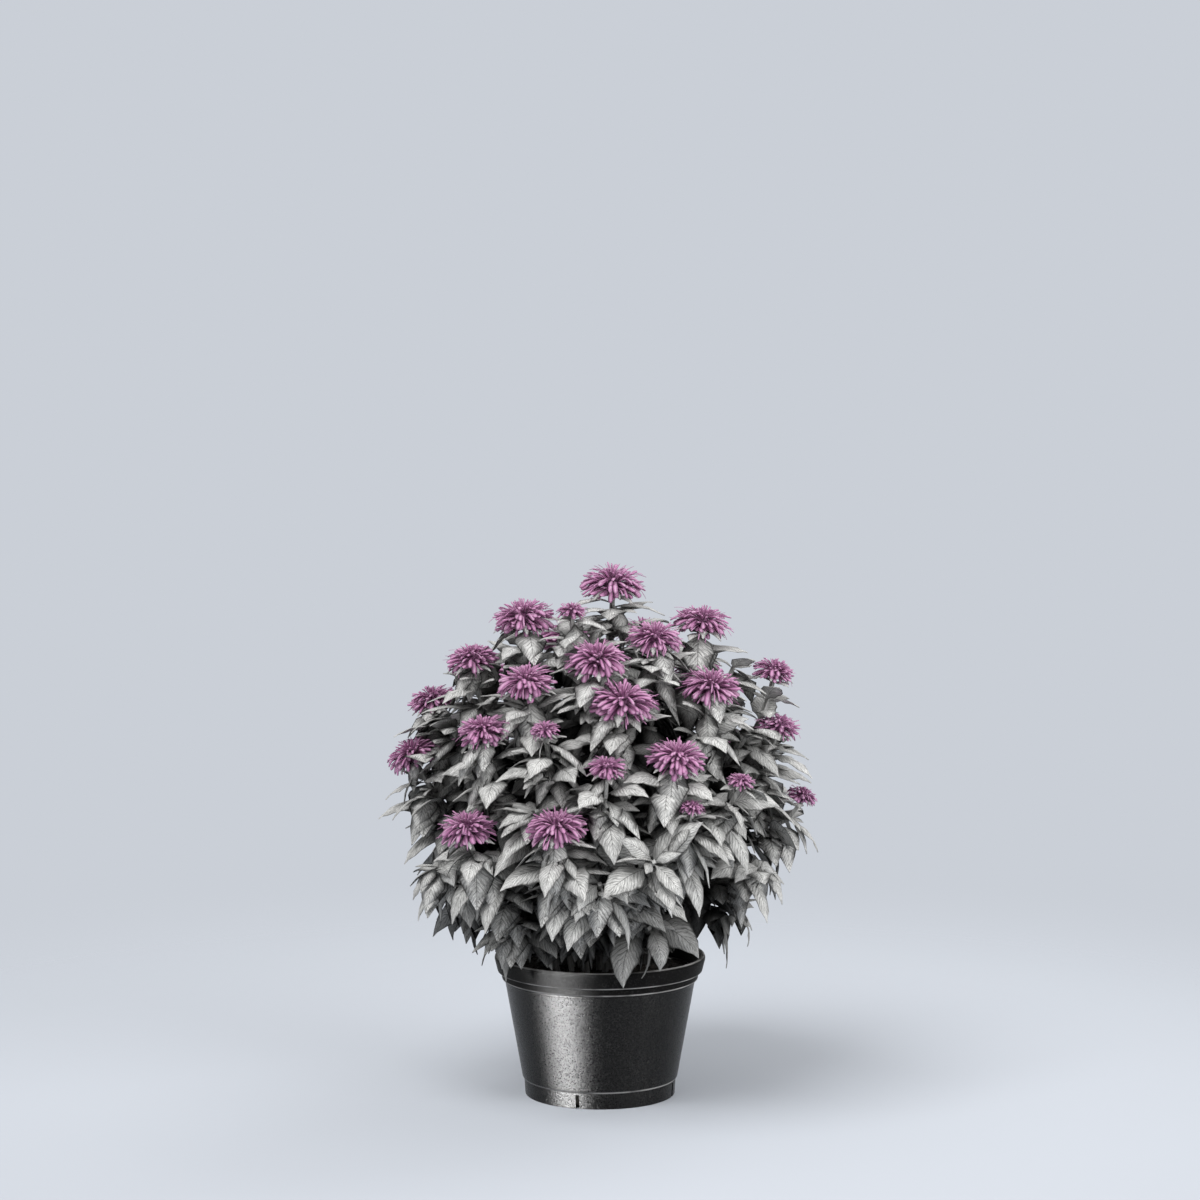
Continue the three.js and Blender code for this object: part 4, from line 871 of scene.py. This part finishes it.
class BEEBALM_OT_inner_leaves(bpy.types.Operator):
    """Fills the bush with small leaves on the stems behind the outer ones"""

    bl_idname = "beebalm.inner_leaves"
    bl_label = "Inner Leaves"

    def execute(self, context):
        plant = context.scene.bee_balm_plant
        rng = np.random.default_rng(SEEDS["inner"])
        stems = [read_stem(node) for node in STEMS]
        roots = np.concatenate([stem_places(corners, bare, rng) for _, corners, bare, _ in stems])
        share = dome_share(roots, OUTLINE)
        least, most = INNER_ROOTS
        roots = roots[(share > least) & (share < most) & (roots[:, 2] > INNER_LOWEST)]
        roots = roots[rng.permutation(len(roots))[:plant.inner_leaves]]
        draws = rng.random((len(roots), 6))
        out = np.arctan2(roots[:, 1], roots[:, 0]) + (draws[:, 3] - 0.5) * INNER_TURN
        rise = np.radians(mix(*INNER_RISE, draws[:, 4]))
        long = mix(*INNER_LONG, draws[:, 5])
        ahead = np.stack([np.cos(out), np.sin(out), 0 * out], -1)
        up = np.array([0, 0, 1.0])
        knots = [roots]
        for at in THREE_KNOTS[1:]:
            bent = rise[:, None] - INNER_DROOP * at / 2
            knots.append(roots + at * long[:, None] * (ahead * np.cos(bent) + up * np.sin(bent)))
        knots = np.stack(knots, 1)
        inside = dome_share(knots[:, 2], OUTLINE) < INNER_TIP
        knots, draws, out, long = knots[inside], draws[inside], out[inside], long[inside]
        sides = np.stack([-np.sin(out), np.cos(out), 0 * out], -1)
        loops, uv = grow_blades(THREE_KNOTS, knots, sides, long * INNER_HALF, TINY_STATIONS, TINY_ACROSS,
                                draws, plant)
        put_leaves("inner_foliage", finish_blades(loops, uv, draws[:, 2] * INNER_SHADE_TONE))
        return {"FINISHED"}


def put_leaves(name, skin, shade=1.0):
    """A piece of leaves alone, in the finish that the leafy stems have; shade is the share of the painted
    shade deep in the bush that it takes.
    """
    points, faces, uv, tone = skin
    put_mesh(name, points, faces, [bpy.data.materials["bee_balm_leaf"]],
             layers={"tone": tone, "depth": shade_depth_of(points) * shade}, uv=uv)


def stem_places(corners, bare, rng):
    """Random places on a stem's skin: each is a mix of the three corners of one triangle."""
    ends = corners[bare]
    area = np.linalg.norm(np.cross(ends[:, 1] - ends[:, 0], ends[:, 2] - ends[:, 0]), axis=1)
    picked = ends[rng.choice(len(ends), STEM_ROOTS, p=area / area.sum())]
    shares = rng.dirichlet((1, 1, 1), STEM_ROOTS)
    return (picked * shares[..., None]).sum(1)


# Tiers of florets: latitude on the head in degrees, reach as a share of its half width, number, and
# size of the strap, which is broad around the rim and narrow at the top.
TIERS = ((-22, 0.78, 13, 1.0), (-14, 0.92, 18, 1.2), (-5, 0.99, 22, 1.25), (6, 1.0, 24, 1.1),
         (17, 0.95, 24, 1.0), (28, 0.87, 22, 0.88), (40, 0.77, 19, 0.78), (53, 0.69, 15, 0.68),
         (66, 0.63, 10, 0.6), (80, 0.6, 5, 0.56))


# Florets: share of a tier on a small head, jitter in steps and degrees, and reach as a share of the
# tier's. Some are thin threads that reach a little further.
SMALL_TIER = 0.3
LEAST_FLORETS = 3
TURN_JITTER = 0.9
TILT_SPREAD = 20
FLORET_REACH = (0.78, 1.03)
THREAD_SHARE = 0.22
THREAD_REACH = 1.08
THREAD_SIZE = 0.32
# One floret: widths at its stations, start as a share of the core, and middle, power and share of curl.
FLORET_STATIONS = np.array([0, 0.3, 0.56, 0.8, 0.94, 1.0])
FLORET_WIDTHS = np.array([0.35, 0.5, 0.8, 1.0, 0.95, 0.5])
FLORET_ROOT = 0.55
CURL_RANGE = (-0.2, 1.7)
CURL_SHAPE = (0.75, 1.6, 0.9)
FLORET_TWIST = 1.4
SMALL_FLORET = 0.45
FLORET_SIZES = (0.8, 1.2)
FLORET_FACES = (0.4, 0.3)


def floret_rows(wide, rng):
    """Latitude, longitude, reach and size of each floret of one head, with fewer on a small head."""
    rows = []
    for tier, (latitude, reach, number, size) in enumerate(TIERS):
        full = min(1, SMALL_TIER + (1 - SMALL_TIER) * wide / FULL_HEAD)
        number = max(LEAST_FLORETS, int(round(number * full)))
        turn = turns(number, 0.5 * (tier % 2) + TURN_JITTER * (rng.random(number) - 0.5))
        tilt = latitude + TILT_SPREAD * (rng.random(number) - 0.5)
        long = reach * mix(*FLORET_REACH, rng.random(number))
        thin = rng.random(number) < THREAD_SHARE
        long = np.where(thin, reach * THREAD_REACH, long)
        rows.append(np.stack([np.radians(tilt), turn, long, np.where(thin, THREAD_SIZE, size)], -1))
    return np.concatenate(rows)


def grow_florets(middle, axis, wide, core, rows, draws, flower):
    """Florets as closed straps: a point at share t stands r(t) out along a direction whose latitude
    falls by the curl on its way, and the strap widens to four fifths of its length, then rounds off."""
    t = FLORET_STATIONS
    u, v = across_axis(axis)
    flat = np.cos(rows[:, 1, None]) * u + np.sin(rows[:, 1, None]) * v
    curl = np.radians(flower.curl) * mix(*CURL_RANGE, draws[:, 0, None]) * np.cos(rows[:, 0, None])
    level, power, share = CURL_SHAPE
    latitude = rows[:, 0, None] + curl * (level - t**power) * share
    out = mix(FLORET_ROOT * core, wide / 2 * rows[:, 2, None], t)
    direction = flat[:, None] * np.cos(latitude)[..., None] + axis * np.sin(latitude)[..., None]
    line = middle + direction * out[..., None]
    ahead = unit(np.gradient(line, t, axis=1))
    side = np.cross(axis, flat)[:, None]
    side = unit(side - dot(side, ahead) * ahead)
    side = unit(side + FLORET_TWIST * (draws[:, 1, None, None] - 0.5) * np.cross(ahead, side))
    face = np.cross(ahead, side)
    full = SMALL_FLORET + (1 - SMALL_FLORET) * wide / FULL_HEAD
    size = flower.floret_half / MM * full * rows[:, 3, None]
    half = (size * FLORET_WIDTHS * mix(*FLORET_SIZES, draws[:, 2, None]))[..., None]
    top, under = FLORET_FACES
    loops = np.stack([line - side * half, line + face * half * top, line + side * half,
                      line - face * half * under], 2)
    return loops, loops_uv(loops, np.array([0.0, 0.5, 1.0, 0.5]), t)


class BEEBALM_OT_flower_heads(bpy.types.Operator):
    """Sets each head's florets in tiers around its core, where the CAD head stands"""

    bl_idname = "beebalm.flower_heads"
    bl_label = "Flower Heads"

    def execute(self, context):
        flower = context.scene.bee_balm_flower
        finish = petal_finish(flower)
        rng = np.random.default_rng(SEEDS["heads"])
        for node, middle, axis, wide, core in zip(HEAD_NODES, *heads_placed()):
            rows = floret_rows(wide, rng)
            draws = rng.random((len(rows), 4))
            loops, uv = grow_florets(middle, axis, wide, core, rows, draws, flower)
            florets = finish_blades(loops, uv, draws[:, 3])
            points, faces, uv, tone = joined([florets, core_of(middle, axis, core)])
            put_mesh(node.replace("flower_head", "florets"), points, faces, [finish], [node],
                     layers={"tone": tone}, uv=uv)
        return {"FINISHED"}


CORE_LATITUDES = (-32, -15, 10, 35, 60)
CORE_SIDES = 12
# The core takes the floret finish at CORE_UV, near the throat, so it is coloured mostly with the painted
# throat shade.
CORE_UV = 0.2


def core_of(middle, axis, core):
    """The head's core: a ball of radius core, cut flat at its foot."""
    latitude = np.radians(CORE_LATITUDES)
    profile = [(0, core * np.sin(-CORE_FOOT)), *[(core * np.cos(a), core * np.sin(a)) for a in latitude],
               (0, core)]
    points, faces = turned(profile, CORE_SIDES)
    points = middle + points @ np.stack([*across_axis(axis), axis])
    return points, faces, np.full((len(points), 2), CORE_UV), np.zeros(len(points))


# Bracts: numbers on a small and a large head, and middle and tip as shares of the length, out and up.
BRACT_NUMBERS = (5, 7)
LARGE_HEAD = 32
BRACT_JITTER = 0.6
BRACT_ROOT = 0.5
BRACT_LONG = (0.34, 0.46)
BRACT_MIDDLE = (0.5, 0.02)
BRACT_TIP = (0.95, -0.22)
BRACT_HALF = 0.22
BRACT_TONE = (0.3, 0.6)
# BRACT_SHADE is the share of the painted shade deep in the bush that the bracts take.
BRACT_SHADE = 0.6


class BEEBALM_OT_head_bracts(bpy.types.Operator):
    """Adds the ring of small leafy bracts that each head rests on"""

    bl_idname = "beebalm.head_bracts"
    bl_label = "Head Bracts"

    def execute(self, context):
        plant = context.scene.bee_balm_plant
        rng = np.random.default_rng(SEEDS["bracts"])
        skins = []
        for middle, axis, wide, core in zip(*heads_placed()):
            number = BRACT_NUMBERS[int(wide > LARGE_HEAD)]
            draws = rng.random((number, 5))
            turn = turns(number, BRACT_JITTER * draws[:, 3])
            u, v = across_axis(axis)
            flat = np.cos(turn)[:, None] * u + np.sin(turn)[:, None] * v
            root = middle - axis * core * np.sin(CORE_FOOT) + flat * core * BRACT_ROOT
            long = wide * mix(*BRACT_LONG, draws[:, 4, None])
            ends = [root + flat * long * out + axis * long * up for out, up in (BRACT_MIDDLE, BRACT_TIP)]
            loops, uv = grow_blades(THREE_KNOTS, np.stack([root, *ends], 1), np.cross(axis, flat),
                                    long[:, 0] * BRACT_HALF, SMALL_STATIONS, TINY_ACROSS, draws, plant)
            skins.append(finish_blades(loops, uv, BRACT_TONE[0] + BRACT_TONE[1] * draws[:, 2]))
        put_leaves("head_bracts", joined(skins), BRACT_SHADE)
        return {"FINISHED"}


# The stage, in metres, with the floor's rings as shares of its radius. A lamp has its name, place, sides,
# power in watts, and the only piece that it reaches.
FLOOR_RINGS = (0.1, 0.25, 0.5, 1.0)
FLOOR_SIDES = 64
FLOOR_HEIGHT = -0.00002
AMBIENT = 0.55
LAMPS = (
    ("key", (-1.7, -2.2, 4.2), (3.2, 3.2), 190, None),
    ("strip", (-1.17, -1.13, 0.35), (0.12, 0.7), 950, "pot_turned"),
    ("fill", (2.4, -2.0, 1.1), (2.4, 2.4), 70, None),
    ("rim", (2.0, 2.0, 2.6), (2.4, 2.4), 40, None),
)
LIT_PLACE = (0, 0, 0.2)


class BEEBALM_OT_stage(bpy.types.Operator):
    """Sets the floor, the soft lights, the backdrop and the camera"""

    bl_idname = "beebalm.stage"
    bl_label = "Stage"

    def execute(self, context):
        stage = context.scene.bee_balm_stage
        lay_floor(stage)
        light_studio(stage)
        camera = bpy.data.cameras.new("camera")
        camera.lens = stage.lens
        camera.clip_end = 100
        holder = added("camera", camera)
        aim(holder, tuple(stage.eye), (0, 0, stage.aim_height))
        context.scene.camera = holder
        context.scene.view_settings.view_transform = "Standard"
        return {"FINISHED"}


def aim(thing, place, target):
    """Puts a camera or a light at a place and turns it to look at a target."""
    thing.location = place
    thing.rotation_euler = (Vector(target) - Vector(place)).to_track_quat("-Z", "Y").to_euler()


def lay_floor(stage):
    """A round floor that fades out into the backdrop."""
    ring = np.array(FLOOR_RINGS)[:, None] * stage.floor_radius
    turn = turns(FLOOR_SIDES)
    points = np.stack([ring * np.cos(turn), ring * np.sin(turn), 0 * ring * turn + FLOOR_HEIGHT], -1)
    points = np.concatenate([points.reshape(-1, 3), [(0, 0, FLOOR_HEIGHT)]])
    here = np.arange(FLOOR_SIDES)
    fan = np.stack([here, (here + 1) % FLOOR_SIDES, here * 0 + len(points) - 1], -1)
    quads = band_faces(np.arange(len(FLOOR_RINGS) - 1) * FLOOR_SIDES, FLOOR_SIDES)[:, ::-1]
    mesh = bpy.data.meshes.new("floor")
    mesh.from_pydata(points, [], quads.tolist() + fan.tolist())
    added("floor", mesh)
    n = Nodes("floor")
    place = n.add("Mapping", Vector=n.place(), Scale=(0.45, 0.45, 0.45))
    ball = n.add("TexGradient", gradient_type="SPHERICAL", Vector=place)
    n.put(n.shader.inputs["Alpha"], n.span(ball, 0.5, 0.88))
    pale = tuple(stage.floor_tone * part for part in stage.backdrop)
    mesh.materials.append(n.finish((*pale, 1), 0.9, Specular_IOR_Level=0.0))


def light_studio(stage):
    """The backdrop that the camera sees, a weaker white light from all around, three soft lamps, and a
    strip that reaches only the pot and draws the upright highlight on it."""
    world = bpy.data.worlds.new("studio")
    bpy.context.scene.world = world
    world.use_nodes = True
    tree = world.node_tree
    tree.nodes.clear()
    kinds = ("Background", "Background", "LightPath", "MixShader", "OutputWorld")
    seen, lit, path, pick, out = (tree.nodes.new("ShaderNode" + kind) for kind in kinds)
    seen.inputs[0].default_value = (*stage.backdrop, 1)
    lit.inputs[0].default_value = (1, 1, 1, 1)
    lit.inputs[1].default_value = AMBIENT
    ways = (path.outputs["Is Camera Ray"], lit.outputs[0], seen.outputs[0])
    for way, socket in zip((*ways, pick.outputs[0]), (*pick.inputs, out.inputs[0])):
        tree.links.new(way, socket)
    for name, place, size, power, only in LAMPS:
        lamp = bpy.data.lights.new(name, "AREA")
        lamp.shape = "RECTANGLE"
        lamp.size, lamp.size_y = size
        lamp.energy = power
        holder = added(name, lamp)
        aim(holder, place, LIT_PLACE)
        if only:
            lit_pieces = bpy.data.collections.new(name)
            lit_pieces.objects.link(bpy.data.objects[only])
            holder.light_linking.receiver_collection = lit_pieces
            holder.visible_diffuse = False


class BEEBALM_PT_panel(bpy.types.Panel):
    """Lists the pieces of the potted bee balm"""

    bl_idname = "BEEBALM_PT_panel"
    bl_label = "Bee Balm"
    bl_space_type = "VIEW_3D"
    bl_region_type = "UI"
    bl_category = "Bee Balm"

    def draw(self, context):
        for operator in OPERATORS:
            self.layout.operator(operator.bl_idname)
        for name, group in GROUPS.items():
            box = self.layout.box()
            for key in group.__annotations__:
                box.prop(getattr(context.scene, name), key)


OPERATORS = (BEEBALM_OT_pot, BEEBALM_OT_soil, BEEBALM_OT_leafy_stems, BEEBALM_OT_inner_leaves,
             BEEBALM_OT_flower_heads, BEEBALM_OT_head_bracts, BEEBALM_OT_stage)
GROUPS = {"bee_balm_pot": BeeBalmPot, "bee_balm_plant": BeeBalmPlant,
          "bee_balm_flower": BeeBalmFlower, "bee_balm_stage": BeeBalmStage}


def register():
    for kind in (*GROUPS.values(), *OPERATORS, BEEBALM_PT_panel):
        bpy.utils.register_class(kind)
    for name, group in GROUPS.items():
        setattr(bpy.types.Scene, name, bpy.props.PointerProperty(type=group))


def unregister():
    for name in GROUPS:
        delattr(bpy.types.Scene, name)
    for kind in (BEEBALM_PT_panel, *OPERATORS, *GROUPS.values()):
        bpy.utils.unregister_class(kind)


def main():
    register()
    for operator in OPERATORS:
        group, name = operator.bl_idname.split(".")
        getattr(getattr(bpy.ops, group), name)()


if __name__ == "__main__":
    main()
